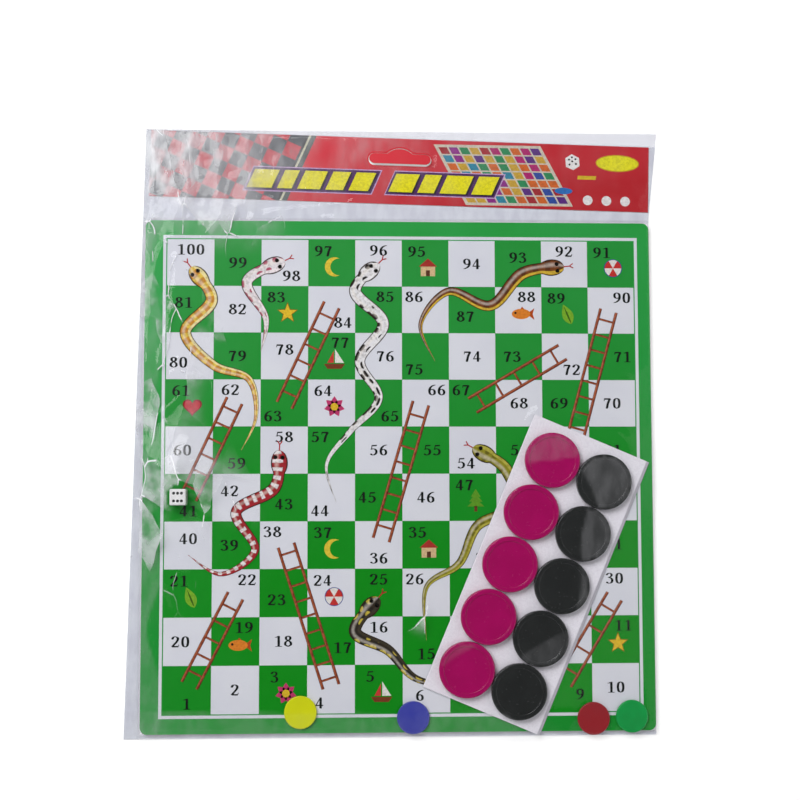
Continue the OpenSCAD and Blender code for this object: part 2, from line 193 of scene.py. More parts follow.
# Where prints and films change, from and to, in millimetres: painted light turns the green paler up the
# board, from its middle, and to the left, and the red turns deeper to the right and down the header, from its
# middle, away from its painted reflection
PAINTED_LIGHT_UP = (-70.0, 118.0)
PAINTED_LIGHT_LEFT = (-60.0, -125.0)
DEEP_RIGHT = (-70.0, 90.0)
DEEP_DOWN = (10.0, -12.0)
# The back film turns clear above the header, to the right, and the front film's painted reflection turns
# cooler at its sides
CLEAR_RIGHT = (-120.0, -60.0)
COOL_SIDES = (112.0, 126.0)
# The draughts card's painted shade where its back leaf shows, and its painted shadow line along its edge,
# from its right edge
LEAF_SHADE = (-1.9, -1.3)
EDGE_SHADOW_LINE = (-0.5, 0.0)
# The floor turns white at these distances, and the world dim at these heights, in thousandths of the way up
WHITE_FLOOR = (350.0, 1300.0)
DIM_WORLD = (350.0, 700.0)

# Setting of a Map Range node that eases in and out
SMOOTH = {"interpolation_type": "SMOOTHSTEP"}
# Setting of a Mix node for colours, its sockets for the share and the two colours, and its output
RGBA = {"data_type": "RGBA"}
SHARE, UNDER, OVER, MIXED = 0, 6, 7, 2


# Colour and node helpers

def linear(text):
    """Linear colour of an sRGB hex text, with its alpha."""
    parts = [int(text[i:i + 2], 16) / 255 for i in (1, 3, 5)]
    return tuple(c / 12.92 if c <= 0.04045 else ((c + 0.055) / 1.055) ** 2.4 for c in parts) + (1.0,)


def linear_of(value):
    """A colour setting, which is kept linear, with its alpha."""
    return tuple(value) + (1.0,)


def add_node(tree, family, kind, inputs=(), out=0, **settings):
    """Adds a node with its settings, links or sets its inputs, and gives one of its outputs.

    The inputs come in order, or by name or number, and a text that starts with # is a colour.
    """
    made = tree.nodes.new(family + kind)
    for key, value in settings.items():
        setattr(made, key, value)
    for key, value in inputs.items() if isinstance(inputs, dict) else enumerate(inputs):
        if isinstance(value, bpy.types.NodeSocket):
            tree.links.new(value, made.inputs[key])
        else:
            is_colour = isinstance(value, str) and value.startswith("#")
            made.inputs[key].default_value = linear(value) if is_colour else value
    return made.outputs[out] if made.outputs else made


def shader_tree(owner):
    """Empties the node tree of a material or a world, and gives what adds shader nodes to it."""
    owner.use_nodes = True
    owner.node_tree.nodes.clear()
    return partial(add_node, owner.node_tree, "ShaderNode")


def new_material(name):
    """A material without nodes, and what adds shader nodes to it."""
    made = bpy.data.materials.new(name)
    return made, shader_tree(made)


def object_place(add):
    """Object coordinates in millimetres."""
    place = add("TexCoord", out="Object")
    return add("VectorMath", {0: place, "Scale": 1 / MM}, operation="SCALE")


def upward(add):
    """1 where a face looks up in the object's own frame."""
    tilt = add("SeparateXYZ", [add("TexCoord", out="Normal")], 2)
    return add("Math", [tilt, 0.5], operation="GREATER_THAN")


def square_reach(add, place, middle):
    """Distance from a middle, as the larger of the offsets along X and Y."""
    off = add("VectorMath", [place, (*middle, 0.0)], operation="SUBTRACT")
    off = add("VectorMath", [off], operation="ABSOLUTE")
    x, y, _ = add("SeparateXYZ", [off]).node.outputs
    return add("Math", [x, y], operation="MAXIMUM")


def clouded(add, place, first, second, size, share=1.0, low=0.35, high=0.7, detail=3.0):
    """The first colour, clouded with up to a share of the second by noise of a size in millimetres."""
    cloud = add("TexNoise", {"Vector": place, "Scale": 1 / size, "Detail": detail})
    part = add("MapRange", [cloud, low, high, 0.0, share], **SMOOTH)
    return add("Mix", {SHARE: part, UNDER: first, OVER: second}, MIXED, **RGBA)


def finish(add, bump=None, depth=0.0, **inputs):
    """Principled shader with these inputs, on the output. bump is a height and depth its size in metres."""
    values = {key.replace("_", " "): value for key, value in inputs.items()}
    if bump is not None:
        values["Normal"] = add("Bump", {"Height": bump, "Distance": depth, "Strength": 1.0})
    add("OutputMaterial", {"Surface": add("BsdfPrincipled", values)})


def finish_paper(add, place, colour, roughness=0.4, sheen=PRINT_SHEEN, grain=PAPER_GRAIN, depth=GRAIN_DEPTH):
    """Principled shader of printed paper, with the paper's grain."""
    height = add("TexNoise", {"Vector": place, "Scale": 1 / grain})
    finish(add, height, depth, Base_Color=colour, Roughness=roughness, Specular_IOR_Level=sheen)


# Materials

def printed_board_front(sheet):
    """Offset print under gloss varnish: two close greens, paler towards the top and the left as painted
    light, and a white paper edge.
    """
    made, add = new_material("offset_print_green_gloss_paper")
    place = object_place(add)
    x, y, _ = add("SeparateXYZ", [place]).node.outputs
    reach = square_reach(add, place, (PRINT_X, BOARD_Y))
    inside = add("Math", [reach, GAME_W / 2], operation="LESS_THAN")
    inks = {UNDER: linear_of(sheet.border_green), OVER: linear_of(sheet.square_green)}
    green = add("Mix", {SHARE: inside, **inks}, MIXED, **RGBA)
    # Painted light: the greens turn paler towards the top and the left, where the light falls stronger
    pale = add("Mix", {SHARE: inside, UNDER: "#30A24C", OVER: "#2C9642"}, MIXED, **RGBA)
    up = add("MapRange", [y, *(BOARD_Y + end for end in PAINTED_LIGHT_UP), 0.0, 0.8], **SMOOTH)
    left = add("MapRange", [x, *PAINTED_LIGHT_LEFT, 0.0, 0.2], **SMOOTH)
    fade = add("Math", [up, left], operation="ADD", use_clamp=True)
    green = add("Mix", {SHARE: fade, UNDER: green, OVER: pale}, MIXED, **RGBA)
    green = clouded(add, place, green, "#149020", 34.0, share=0.25, high=0.75)
    # Print dots are about a third of this size: coarser ones show
    green = clouded(add, place, green, "#075A12", 0.5, share=0.05, low=0.3, detail=2.0)
    colour = add("Mix", {SHARE: upward(add), UNDER: "#D9D6CE", OVER: green}, MIXED, **RGBA)
    wear = add("TexNoise", {"Vector": place, "Scale": 1 / 6.0, "Detail": 3.0})
    finish_paper(add, place, colour, add("MapRange", [wear, 0.3, 0.7, 0.34, 0.42], **SMOOTH))
    return made


def printed_white(sheet):
    """Unprinted gloss paper: cool white with faint cloudiness."""
    made, add = new_material("unprinted_gloss_paper_white")
    place = object_place(add)
    colour = clouded(add, place, linear_of(sheet.paper_white), "#D2D3DC", 26.0, share=0.5)
    finish_paper(add, place, colour, 0.38)
    return made


def grey_board():
    """Recycled grey board: warm grey with dark and pale fibres in layers along the cut edge."""
    made, add = new_material("grey_board_cut_edge")
    # Fibres are finer than this: coarser ones show
    layers = add("Mapping", {"Vector": object_place(add), "Scale": (0.25, 0.25, 4.0)})
    fibre = add("TexNoise", {"Vector": layers, "Scale": 1 / 0.6, "Detail": 4.0})
    pale = add("MapRange", [fibre, 0.35, 0.65], **SMOOTH)
    colour = add("Mix", {SHARE: pale, UNDER: "#837E76", OVER: "#A9A49A"}, MIXED, **RGBA)
    finish(add, fibre, 6e-5, Base_Color=colour, Roughness=0.9)
    return made


def printed_back(name, first, second):
    """Offset print on the back paper, seen through the back film: even ink with a fine mottle."""
    made, add = new_material(name)
    place = object_place(add)
    finish_paper(add, place, clouded(add, place, first, second, 7.0, low=0.3), sheen=0.5)
    return made


def tinted_print(name, roughness=0.4):
    """Printed figures: each in its own ink from the tint attribute, with a fine mottle."""
    made, add = new_material(name)
    place = object_place(add)
    tint = add("Attribute", out="Color", attribute_name="tint")
    finish_paper(add, place, clouded(add, place, tint, "#30241C", 1.1, share=0.22), roughness)
    return made


def number_ink(sheet):
    """Black offset ink: near black, thin enough that the paper's mottle shows in it."""
    made, add = new_material("offset_ink_black_numbers")
    inks = linear_of(sheet.number_ink), "#1C231E"
    colour = clouded(add, object_place(add), *inks, 0.7, share=0.35, low=0.4, high=0.75, detail=2.0)
    finish(add, Base_Color=colour, Roughness=0.42, Specular_IOR_Level=PRINT_SHEEN)
    return made


def ladder_print():
    """Printed wood: red-brown streaks between dark drawn edges, from the across attribute."""
    made, add = new_material("offset_print_wood_ladders")
    across = add("Attribute", out="Fac", attribute_name="across")
    wood = clouded(add, object_place(add), "#7C3320", "#A35232", 2.2, high=0.65, detail=4.0)
    lit = add("MapRange", [across, -0.7, 0.1, 0.45, 0.0], **SMOOTH)
    wood = add("Mix", {SHARE: lit, UNDER: wood, OVER: "#C4794C"}, MIXED, **RGBA)
    aside = add("Math", [across], operation="ABSOLUTE")
    edge = add("MapRange", [aside, 0.62, 0.86], **SMOOTH)
    colour = add("Mix", {SHARE: edge, UNDER: wood, OVER: "#4C1A12"}, MIXED, **RGBA)
    finish(add, Base_Color=colour, Roughness=0.4, Specular_IOR_Level=PRINT_SHEEN)
    return made


def snake_marks(add, kind, along, across, wobble, period):
    """1 in a snake's bands or spots, which come once in a period along its body."""
    if kind == "bands":
        run = add("Math", [along, wobble], operation="ADD")
        turn = add("Math", [run, period], operation="DIVIDE")
        turn = add("Math", [turn], operation="FRACT")
        start = add("MapRange", [turn, 0.0, 0.12], **SMOOTH)
        end = add("MapRange", [turn, 0.42, 0.54], **SMOOTH)
        return add("Math", [start, end], operation="SUBTRACT")
    turn = add("Math", [along, period], operation="DIVIDE")
    skin = add("CombineXYZ", [turn, across])
    gap = add("TexVoronoi", {"Vector": skin, "Scale": 1.0, "Randomness": 0.55}, "Distance")
    rough_gap = add("Math", [wobble, 0.12, gap], operation="MULTIPLY_ADD")
    return add("MapRange", [rough_gap, 0.36, 0.46, 1.0, 0.0], **SMOOTH)


def snake_print(name, kind, base, second, belly, period):
    """Printed snake: bands or spots along the body, a belly line, a drawn outline and a soft light."""
    made, add = new_material(name)
    place = object_place(add)
    along = add("Attribute", out="Fac", attribute_name="along")
    across = add("Attribute", out="Fac", attribute_name="across")
    shake = add("TexNoise", {"Vector": place, "Scale": 1 / 2.4, "Detail": 3.0})
    wobble = add("Math", [shake, 1.6, -0.8], operation="MULTIPLY_ADD")
    mark = snake_marks(add, kind, along, across, wobble, period)
    colour = add("Mix", {SHARE: mark, UNDER: base, OVER: second}, MIXED, **RGBA)
    low = add("MapRange", [across, 0.36, 0.5], **SMOOTH)
    colour = add("Mix", {SHARE: low, UNDER: colour, OVER: belly}, MIXED, **RGBA)
    rise = add("MapRange", [across, -0.75, -0.35], **SMOOTH)
    fall = add("MapRange", [across, -0.3, 0.1, 0.4, 0.0], **SMOOTH)
    light = add("Math", [rise, fall], operation="MULTIPLY")
    colour = add("Mix", {SHARE: light, UNDER: colour, OVER: "#F4EBDD"}, MIXED, **RGBA)
    colour = clouded(add, place, colour, "#4A3418", 1.3, share=0.4, low=0.4, high=0.75, detail=4.0)
    aside = add("Math", [across], operation="ABSOLUTE")
    edge = add("MapRange", [aside, 0.78, 0.93], **SMOOTH)
    colour = add("Mix", {SHARE: edge, UNDER: colour, OVER: "#2A1A10"}, MIXED, **RGBA)
    finish(add, Base_Color=colour, Roughness=0.4, Specular_IOR_Level=PRINT_SHEEN)
    return made


def header_print(sheet):
    """Red printed card: a red that deepens towards the right and the foot, paler at the left and top as
    painted reflection of the film, white where it is cut.
    """
    made, add = new_material("offset_print_red_card")
    place = object_place(add)
    x, y, _ = add("SeparateXYZ", [place]).node.outputs
    # Painted reflection: the red is paler at the left and top, where the film's reflection lies over it, and
    # deeper to the right and the foot
    right = add("MapRange", [x, *DEEP_RIGHT, 0.0, 0.75], **SMOOTH)
    low = add("MapRange", [y, *(HEADER_PLACE[1] + end for end in DEEP_DOWN), 0.0, 0.35], **SMOOTH)
    deep = add("Math", [right, low], operation="ADD", use_clamp=True)
    red = add("Mix", {SHARE: deep, UNDER: linear_of(sheet.header_red), OVER: "#B4222A"}, MIXED, **RGBA)
    red = clouded(add, place, red, "#C04A50", 14.0, share=0.22)
    colour = add("Mix", {SHARE: upward(add), UNDER: "#DAD6D0", OVER: red}, MIXED, **RGBA)
    finish_paper(add, place, colour, HEADER_ROUGHNESS, grain=1.2, depth=6e-6)
    return made


def white_card():
    """Uncoated white paperboard: cool white with short fibres, with painted shade where its back leaf shows
    and on its side faces, and a painted shadow line along its right edge.
    """
    made, add = new_material("folded_white_paperboard")
    place = object_place(add)
    # Fibres are finer than this: coarser ones show
    fibre = add("TexNoise", {"Vector": place, "Scale": 1 / 0.9, "Detail": 4.0})
    pale = add("MapRange", [fibre, 0.3, 0.7], **SMOOTH)
    colour = add("Mix", {SHARE: pale, UNDER: "#E6E2E8", OVER: "#EFECF1"}, MIXED, **RGBA)
    # Painted shade where the back leaf shows past the front leaf, and a painted shadow line along the right
    # edge
    way = (math.cos(PACK_TURN), math.sin(PACK_TURN), 0.0)
    right = add("VectorMath", [place, way], "Value", operation="DOT_PRODUCT")
    edge = PACK_PLACE[0] * way[0] + PACK_PLACE[1] * way[1] + PACK_SIZE[0] / 2
    step = add("MapRange", [right, *(edge + end for end in LEAF_SHADE), 0.0, 0.5], **SMOOTH)
    rim = add("MapRange", [right, *(edge + end for end in EDGE_SHADOW_LINE), 0.0, 0.4], **SMOOTH)
    grey = add("Math", [step, rim], operation="ADD")
    colour = add("Mix", {SHARE: grey, UNDER: colour, OVER: "#9F9DA6"}, MIXED, **RGBA)
    # Painted shade: the side faces are drawn grey
    colour = add("Mix", {SHARE: upward(add), UNDER: "#B9B7BF", OVER: colour}, MIXED, **RGBA)
    finish(add, fibre, GRAIN_DEPTH, Base_Color=colour, Roughness=0.62, Specular_IOR_Level=PRINT_SHEEN)
    return made


def moulded_plastic(name, colour_value, flow, roughness=0.22):
    """Moulded polystyrene: strong colour with faint flow marks and a soft gloss with fine scuffs."""
    made, add = new_material(name)
    place = object_place(add)
    colour = clouded(add, place, linear_of(colour_value), flow, 9.0, share=0.5, high=0.75, detail=2.0)
    scuff = add("TexNoise", {"Vector": place, "Scale": 1 / 1.4, "Detail": 4.0})
    gloss = add("MapRange", [scuff, 0.45, 0.8, roughness, roughness + 0.08], **SMOOTH)
    sink = add("TexNoise", {"Vector": place, "Scale": 1 / 7.0, "Detail": 1.0})
    finish(add, sink, 3e-5, Base_Color=colour, Roughness=gloss, Specular_IOR_Level=0.35)
    return made


def die_plastic():
    """White moulded plastic with pips filled in black paint, from the pip attribute."""
    made, add = new_material("moulded_white_plastic_painted_pips")
    sunk = add("Attribute", out="Fac", attribute_name="pip")
    pip = add("MapRange", [sunk, 0.25, 0.45], **SMOOTH)
    body = clouded(add, object_place(add), "#E9E8E6", "#F3F2F0", 3.0)
    colour = add("Mix", {SHARE: pip, UNDER: body, OVER: "#141416"}, MIXED, **RGBA)
    finish(add, Base_Color=colour, Roughness=add("MapRange", [pip, 0.0, 1.0, 0.24, 0.5], **SMOOTH))
    return made


def crease_marks(add, place):
    """Painted highlights of crumpled film, from the crumple attribute: pale facets and thin bright lines
    where the creases catch the light.
    """
    crumple = add("Attribute", out="Fac", attribute_name="crumple")
    bend = add("TexNoise", {"Vector": place, "Scale": 1 / 18.0, "Detail": 1.0}, "Color")
    bent = add("VectorMath", [bend, (9.0, 9.0, 0.0), place], operation="MULTIPLY_ADD")
    turn = {"Rotation": (0.0, 0.0, 0.35), "Scale": (1 / 11.0, 1 / 26.0, 1.0)}
    cells = {"Vector": add("Mapping", {"Vector": bent, **turn}), "Scale": 1.0}
    tone = add("TexVoronoi", cells, "Color", voronoi_dimensions="2D")
    chance = add("SeparateColor", [tone])
    facet = add("MapRange", [chance, 0.45, 1.0, 0.0, 0.4], **SMOOTH)
    patch = add("TexNoise", {"Vector": place, "Scale": 1 / 16.0, "Detail": 3.0})
    patch = add("MapRange", [patch, 0.35, 0.65], **SMOOTH)
    edge = add("TexVoronoi", cells, "Distance", voronoi_dimensions="2D", feature="DISTANCE_TO_EDGE")
    line = add("MapRange", [edge, 0.0, 0.026, 0.9, 0.0], **SMOOTH)
    run = add("TexNoise", {"Vector": place, "Scale": 1 / 13.0, "Detail": 3.0})
    run = add("MapRange", [run, 0.54, 0.62], **SMOOTH)
    lines = add("Math", [line, run], operation="MULTIPLY")
    marks = add("Math", [facet, patch, lines], operation="MULTIPLY_ADD")
    return add("Math", [crumple, marks], operation="MULTIPLY")


def back_haze(add, place, crease, look):
    """Milkiness and colour of the back film: hazy off the board, but clear above the header's right."""
    x, y, _ = add("SeparateXYZ", [place]).node.outputs
    reach = square_reach(add, place, (BOARD_X, BOARD_Y))
    edge = BOARD_W / 2
    milk = look.cling_haze, look.back_haze
    haze = add("MapRange", [reach, edge - 1.0, edge + 2.5, *milk], **SMOOTH)
    slope = math.tan(HEADER_TURN)
    top = HEADER_PLACE[1] + HEADER_SIZE[1] / 2 - HEADER_PLACE[0] * slope
    over = add("Math", [x, -slope, y], operation="MULTIPLY_ADD")
    over = add("MapRange", [over, top - 1.0, top + 1.0], **SMOOTH)
    right = add("MapRange", [x, *CLEAR_RIGHT, 0.0, -0.85], **SMOOTH)
    kept = add("Math", [over, right, 1.0], operation="MULTIPLY_ADD")
    haze = add("Math", [haze, kept], operation="MULTIPLY")
    tone = add("MapRange", [crease, 0.3, 0.7], **SMOOTH)
    return haze, add("Mix", {SHARE: tone, UNDER: "#D8DAE4", OVER: "#E6E9F0"}, MIXED, **RGBA)


def front_haze(add, place, crease, look):
    """Painted reflection and highlights of the front film, drawn as diffuse white, and their colour: from the
    attribute that holds the painted reflection, with painted highlights along sharp creases.
    """
    x = add("SeparateXYZ", [place])
    milky = add("Attribute", out="Fac", attribute_name="milky")
    uneven = add("MapRange", [crease, 0.3, 0.7, 0.55, 1.25], **SMOOTH)
    # Painted reflection and painted crease highlights, drawn as diffuse white over the clear film
    haze = add("Math", [milky, uneven, crease_marks(add, place)], operation="MULTIPLY_ADD")
    haze = add("Math", [haze, look.front_haze], operation="ADD", use_clamp=True)
    off = add("Math", [x, PRINT_X], operation="SUBTRACT")
    off = add("Math", [off], operation="ABSOLUTE")
    side = add("MapRange", [off, *COOL_SIDES], **SMOOTH)
    return haze, add("Mix", {SHARE: side, UNDER: "#F2F2F6", OVER: "#EEF0F4"}, MIXED, **RGBA)


def clear_film(name, look, haze_of):
    """Clear polypropylene film: seen through, with a mirror-like sheen, and a diffuse white where creased or
    loose, which on the front film is painted reflection and highlights.
    """
    made, add = new_material(name)
    place = object_place(add)
    pulled = add("Mapping", {"Vector": place, "Scale": (1.0, 0.45, 1.0)})
    crease = add("TexNoise", {"Vector": pulled, "Scale": 1 / 5.0, "Detail": 4.0})
    haze, colour = haze_of(add, place, crease, look)
    clear = add("BsdfTransparent", {"Color": "#FCFCFD"})
    # The diffuse white that draws the haze; on the front film it is painted reflection and highlights
    milk = add("BsdfDiffuse", {"Color": colour})
    seen = add("MixShader", [haze, clear, milk])
    wave = add("TexNoise", {"Vector": place, "Scale": 1 / 12.0, "Detail": 3.0})
    bump = add("Bump", {"Height": wave, "Distance": 1.2e-4, "Strength": 1.0})
    gloss = add("BsdfGlossy", {
        "Color": "#FFFFFF", "Roughness": look.gloss_roughness, "Normal": bump})
    inner = add("NewGeometry", out="Backfacing")
    outer = add("Math", [1.0, inner], operation="SUBTRACT")
    mirror = add("Fresnel", {"IOR": look.refraction})
    sheen = add("Math", [mirror, outer], operation="MULTIPLY")
    add("OutputMaterial", {"Surface": add("MixShader", [sheen, seen, gloss])})
    return made


# Mesh helpers

def new_object(name, data):
    """A new object in the scene, at the origin."""
    made = bpy.data.objects.new(name, data)
    bpy.context.scene.collection.objects.link(made)
    return made


def link(name, mesh, material, body=ROOT):
    """A new piece that rides on a body."""
    made = new_object(name, mesh)
    mesh.materials.clear()
    mesh.materials.append(material)
    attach(made, body)
    return made


def mesh_of(name, points, faces, smooth=False, edges=()):
    """Mesh from points in millimetres."""
    mesh = bpy.data.meshes.new(name)
    mesh.from_pydata([tuple(p) for p in np.asarray(points, float) * MM], edges, faces)
    mesh.polygons.foreach_set("use_smooth", [smooth] * len(mesh.polygons))
    mesh.update()
    return mesh


def store(mesh, name, values, kind="FLOAT"):
    """A value for each point of a mesh."""
    layer = mesh.attributes.new(name, kind, "POINT")
    array = np.asarray(values, np.int32 if kind == "INT" else np.float32).ravel()
    layer.data.foreach_set("color" if kind == "FLOAT_COLOR" else "value", array)


def area_of(outline):
    """Signed area of an outline, positive where it runs counterclockwise."""
    p = np.asarray(outline, float)
    q = np.roll(p, -1, axis=0)
    return 0.5 * float(np.sum(p[:, 0] * q[:, 1] - q[:, 0] * p[:, 1]))


def border_of(faces):
    """Edges that only one face has, in the direction that it has them."""
    edges = {(face[i - 1], face[i]) for face in faces for i in range(len(face))}
    return sorted((a, b) for a, b in edges if (b, a) not in edges)


def grid_faces(rows, columns, first=0):
    """Faces of a grid of points that are numbered along its rows."""
    corners = [first + i * columns + j for i in range(rows - 1) for j in range(columns - 1)]
    return [[a, a + columns, a + columns + 1, a + 1] for a in corners]


def thin_solid(faces, count):
    """Faces of a thin closed solid, from the faces of its plan.

    The plan's points are numbered first for the underside, and then again for the top, count higher.
    """
    tops = [[i + count for i in face] for face in faces]
    return tops + [face[::-1] for face in faces] + [[a, b, b + count, a + count] for a, b in border_of(faces)]


def flat_figures(name, figures, base, thickness):
    """Thin solids from outlines in the plane: figures is a list of (outline, colour text, layer)."""
    points, faces, tints = [], [], []
    for outline, colour, layer in figures:
        ring = list(outline) if area_of(outline) > 0 else list(outline)[::-1]
        n, first = len(ring), len(points)
        top = base + thickness * (1 + layer)
        points += [(x, y, base) for x, y in ring] + [(x, y, top) for x, y in ring]
        tints += [linear(colour)] * (2 * n)
        faces += thin_solid([list(range(first, first + n))], n)
    mesh = mesh_of(name, points, faces)
    store(mesh, "tint", tints, "FLOAT_COLOR")
    return mesh


def turned(points, place, angle=0.0, size=1.0):
    """Points scaled, turned and moved in the plane."""
    c, s = math.cos(angle), math.sin(angle)
    p = np.asarray(points, float) * size
    return np.c_[p[:, 0] * c - p[:, 1] * s + place[0], p[:, 0] * s + p[:, 1] * c + place[1]]


def own_frame(x, y, place, turn):
    """Where points are in the frame of something that lies turned at a place."""
    c, s = math.cos(turn), math.sin(turn)
    dx, dy = x - place[0], y - place[1]
    return dx * c + dy * s, dy * c - dx * s


def away(x, y, place):
    """Distance of points from a place."""
    return np.hypot(x - place[0], y - place[1])


def ellipse(rx, ry, centre=(0.0, 0.0), steps=28):
    """Outline of an ellipse."""
    a = np.arange(steps) * 2 * math.pi / steps
    return np.c_[centre[0] + rx * np.cos(a), centre[1] + ry * np.sin(a)]


def smooth_path(points, steps):
    """Smooth curve through the points, as part.scad draws it."""
    p = np.asarray(points, float)
    n = len(p) - 1
    made = []
    for i in range(n):
        a, b, c, d = p[max(i - 1, 0)], p[i], p[i + 1], p[min(i + 2, n)]
        for t in np.arange(steps) / steps:
            made.append(0.5 * (2 * b + (c - a) * t + (2 * a - 5 * b + 4 * c - d) * t * t
                               + (3 * b - a - 3 * c + d) * t ** 3))
    made.append(p[n])
    return np.array(made)


def path_frame(path):
    """Distance along a path and the unit vectors across and along it, at each point."""
    steps = np.linalg.norm(np.diff(path, axis=0), axis=1)
    run = np.r_[0.0, np.cumsum(steps)]
    d = np.gradient(path, axis=0)
    d /= np.linalg.norm(d, axis=1)[:, None]
    return run, np.c_[-d[:, 1], d[:, 0]], d


def on_board(point):
    """Place in millimetres, in the part's frame, of a point given in squares."""
    return np.asarray(point, float) * SQUARE_W + np.array([PRINT_X - GAME_W / 2, BOARD_Y - GAME_W / 2])


# Geometry Nodes helpers

def new_tree(name, inputs):
    """Geometry node group with named inputs, what adds nodes to it, and its inputs' sockets."""
    tree = bpy.data.node_groups.new(name, "GeometryNodeTree")
    tree.interface.new_socket("Geometry", in_out="INPUT", socket_type="NodeSocketGeometry")
    for label, kind in inputs:
        tree.interface.new_socket(label, in_out="INPUT", socket_type=kind)
    tree.interface.new_socket("Geometry", in_out="OUTPUT", socket_type="NodeSocketGeometry")
    add = partial(add_node, tree, "")
    return tree, add, add("NodeGroupInput").node.outputs


def close_tree(add, geometry, material):
    """Ends a tree with real geometry and its material."""
    real = add("GeometryNodeRealizeInstances", {"Geometry": geometry})
    done = add("GeometryNodeSetMaterial", {"Geometry": real, "Material": material})
    add("NodeGroupOutput", {"Geometry": done})


def grow(name, seed_mesh, tree, values, material):
    """Runs a tree on a mesh and keeps the result as a plain mesh on a new piece."""
    holder = new_object(name + "_seed", seed_mesh)
    modifier = holder.modifiers.new(name, "NODES")
    modifier.node_group = tree
    for item in tree.interface.items_tree:
        if item.item_type == "SOCKET" and item.in_out == "INPUT" and item.name in values:
            modifier[item.identifier] = values[item.name]
    graph = bpy.context.evaluated_depsgraph_get()
    mesh = bpy.data.meshes.new_from_object(holder.evaluated_get(graph))
    if not mesh.polygons:
        raise RuntimeError(f"{name}: its node tree made nothing")
    holder.modifiers.remove(modifier)
    bpy.data.objects.remove(holder)
    mesh.name = name
    return link(name, mesh, material)


# Numbers

# Half width and half height of the pen's nib, and the width of a figure, in heights of a figure
NIB_WIDE = 0.088
NIB_THIN = 0.030
FIGURE_W = 0.62
# Points from one given point of a stroke to the next, and round its ends
NIB_STEPS = 7
# Points of strokes nearer than this are one
JOIN_GAP = 1e-5

# Pen strokes of the figures, in heights of a figure: points, and the nib's half width and height if other
STROKES = {
    0: [([(0.31, 0.97), (0.165, 0.86), (0.11, 0.5), (0.165, 0.14), (0.31, 0.03)],),
        ([(0.31, 0.97), (0.455, 0.86), (0.51, 0.5), (0.455, 0.14), (0.31, 0.03)],)],
    1: [([(0.33, 0.95), (0.33, 0.5), (0.33, 0.05)],),
        ([(0.12, 0.86), (0.22, 0.88), (0.33, 0.955)],),
        ([(0.16, 0.03), (0.33, 0.03), (0.5, 0.03)],)],
    2: [([(0.09, 0.74), (0.14, 0.9), (0.29, 0.965), (0.45, 0.88), (0.475, 0.7), (0.37, 0.47), (0.2, 0.24),
          (0.09, 0.08)],),
        ([(0.09, 0.07), (0.3, 0.07), (0.5, 0.07)], 0.03, 0.065),
        ([(0.5, 0.08), (0.53, 0.15), (0.55, 0.23)], 0.028, 0.028)],
    3: [([(0.1, 0.8), (0.18, 0.93), (0.32, 0.965), (0.44, 0.87), (0.43, 0.69), (0.25, 0.565)], 0.08),
        ([(0.25, 0.565), (0.43, 0.49), (0.5, 0.29), (0.43, 0.1), (0.26, 0.035), (0.12, 0.09)],),
        ([(0.11, 0.12), (0.12, 0.12), (0.13, 0.11)], 0.075, 0.07)],
    4: [([(0.39, 0.96), (0.39, 0.5), (0.39, 0.03)],),
        ([(0.37, 0.95), (0.2, 0.6), (0.06, 0.3)], 0.035),
        ([(0.05, 0.28), (0.3, 0.28), (0.56, 0.28)], 0.03, 0.05)],
    5: [([(0.17, 0.91), (0.34, 0.91), (0.5, 0.93)], 0.03, 0.06),
        ([(0.18, 0.93), (0.15, 0.74), (0.13, 0.56)], 0.034),
        ([(0.13, 0.57), (0.29, 0.62), (0.45, 0.51), (0.49, 0.3), (0.4, 0.11), (0.24, 0.035), (0.11, 0.09)],),
        ([(0.1, 0.12), (0.11, 0.12), (0.12, 0.11)], 0.07, 0.065)],
    6: [([(0.5, 0.965), (0.3, 0.86), (0.15, 0.64), (0.115, 0.36), (0.175, 0.12), (0.32, 0.03)],),
        ([(0.32, 0.03), (0.46, 0.11), (0.505, 0.31), (0.43, 0.51), (0.28, 0.56), (0.14, 0.46)],)],
    7: [([(0.1, 0.9), (0.3, 0.9), (0.52, 0.9)], 0.03, 0.07),
        ([(0.5, 0.88), (0.37, 0.55), (0.27, 0.03)],),
        ([(0.1, 0.92), (0.085, 0.82), (0.075, 0.72)], 0.026, 0.026)],
    8: [([(0.31, 0.965), (0.17, 0.88), (0.17, 0.68), (0.31, 0.545)],),
        ([(0.31, 0.965), (0.45, 0.88), (0.45, 0.68), (0.31, 0.545)],),
        ([(0.31, 0.56), (0.13, 0.41), (0.115, 0.17), (0.31, 0.03)],),
        ([(0.31, 0.56), (0.49, 0.4), (0.505, 0.17), (0.31, 0.03)],)],
}
STROKES[9] = [([(FIGURE_W - x, 1 - y) for x, y in points], *nib) for points, *nib in STROKES[6]]


def stroke_outline(points, wide=NIB_WIDE, thin=NIB_THIN):
    """Outline of a broad-nib stroke: the nib is an ellipse that stays upright along the path."""
    path = smooth_path(points, NIB_STEPS)
    _, across, along = path_frame(path)
    reach = np.hypot(wide * across[:, 0], thin * across[:, 1])[:, None]
    side = np.c_[wide ** 2 * across[:, 0], thin ** 2 * across[:, 1]] / reach
    ends = []
    for tip, sign in ((path[-1], 1), (path[0], -1)):
        d = along[-1 if sign > 0 else 0] * sign
        start = math.atan2(-d[0] * wide, d[1] * thin)
        turn = start + np.linspace(0, math.pi, NIB_STEPS + 1)[1:-1]
        cap = np.c_[wide * np.cos(turn), thin * np.sin(turn)]
        order = cap @ np.array([-d[1], d[0]])
        ends.append(tip + (cap if order[0] < order[-1] else cap[::-1])[::-1])
    return np.vstack([path + side, ends[0], (path - side)[::-1], ends[1]])


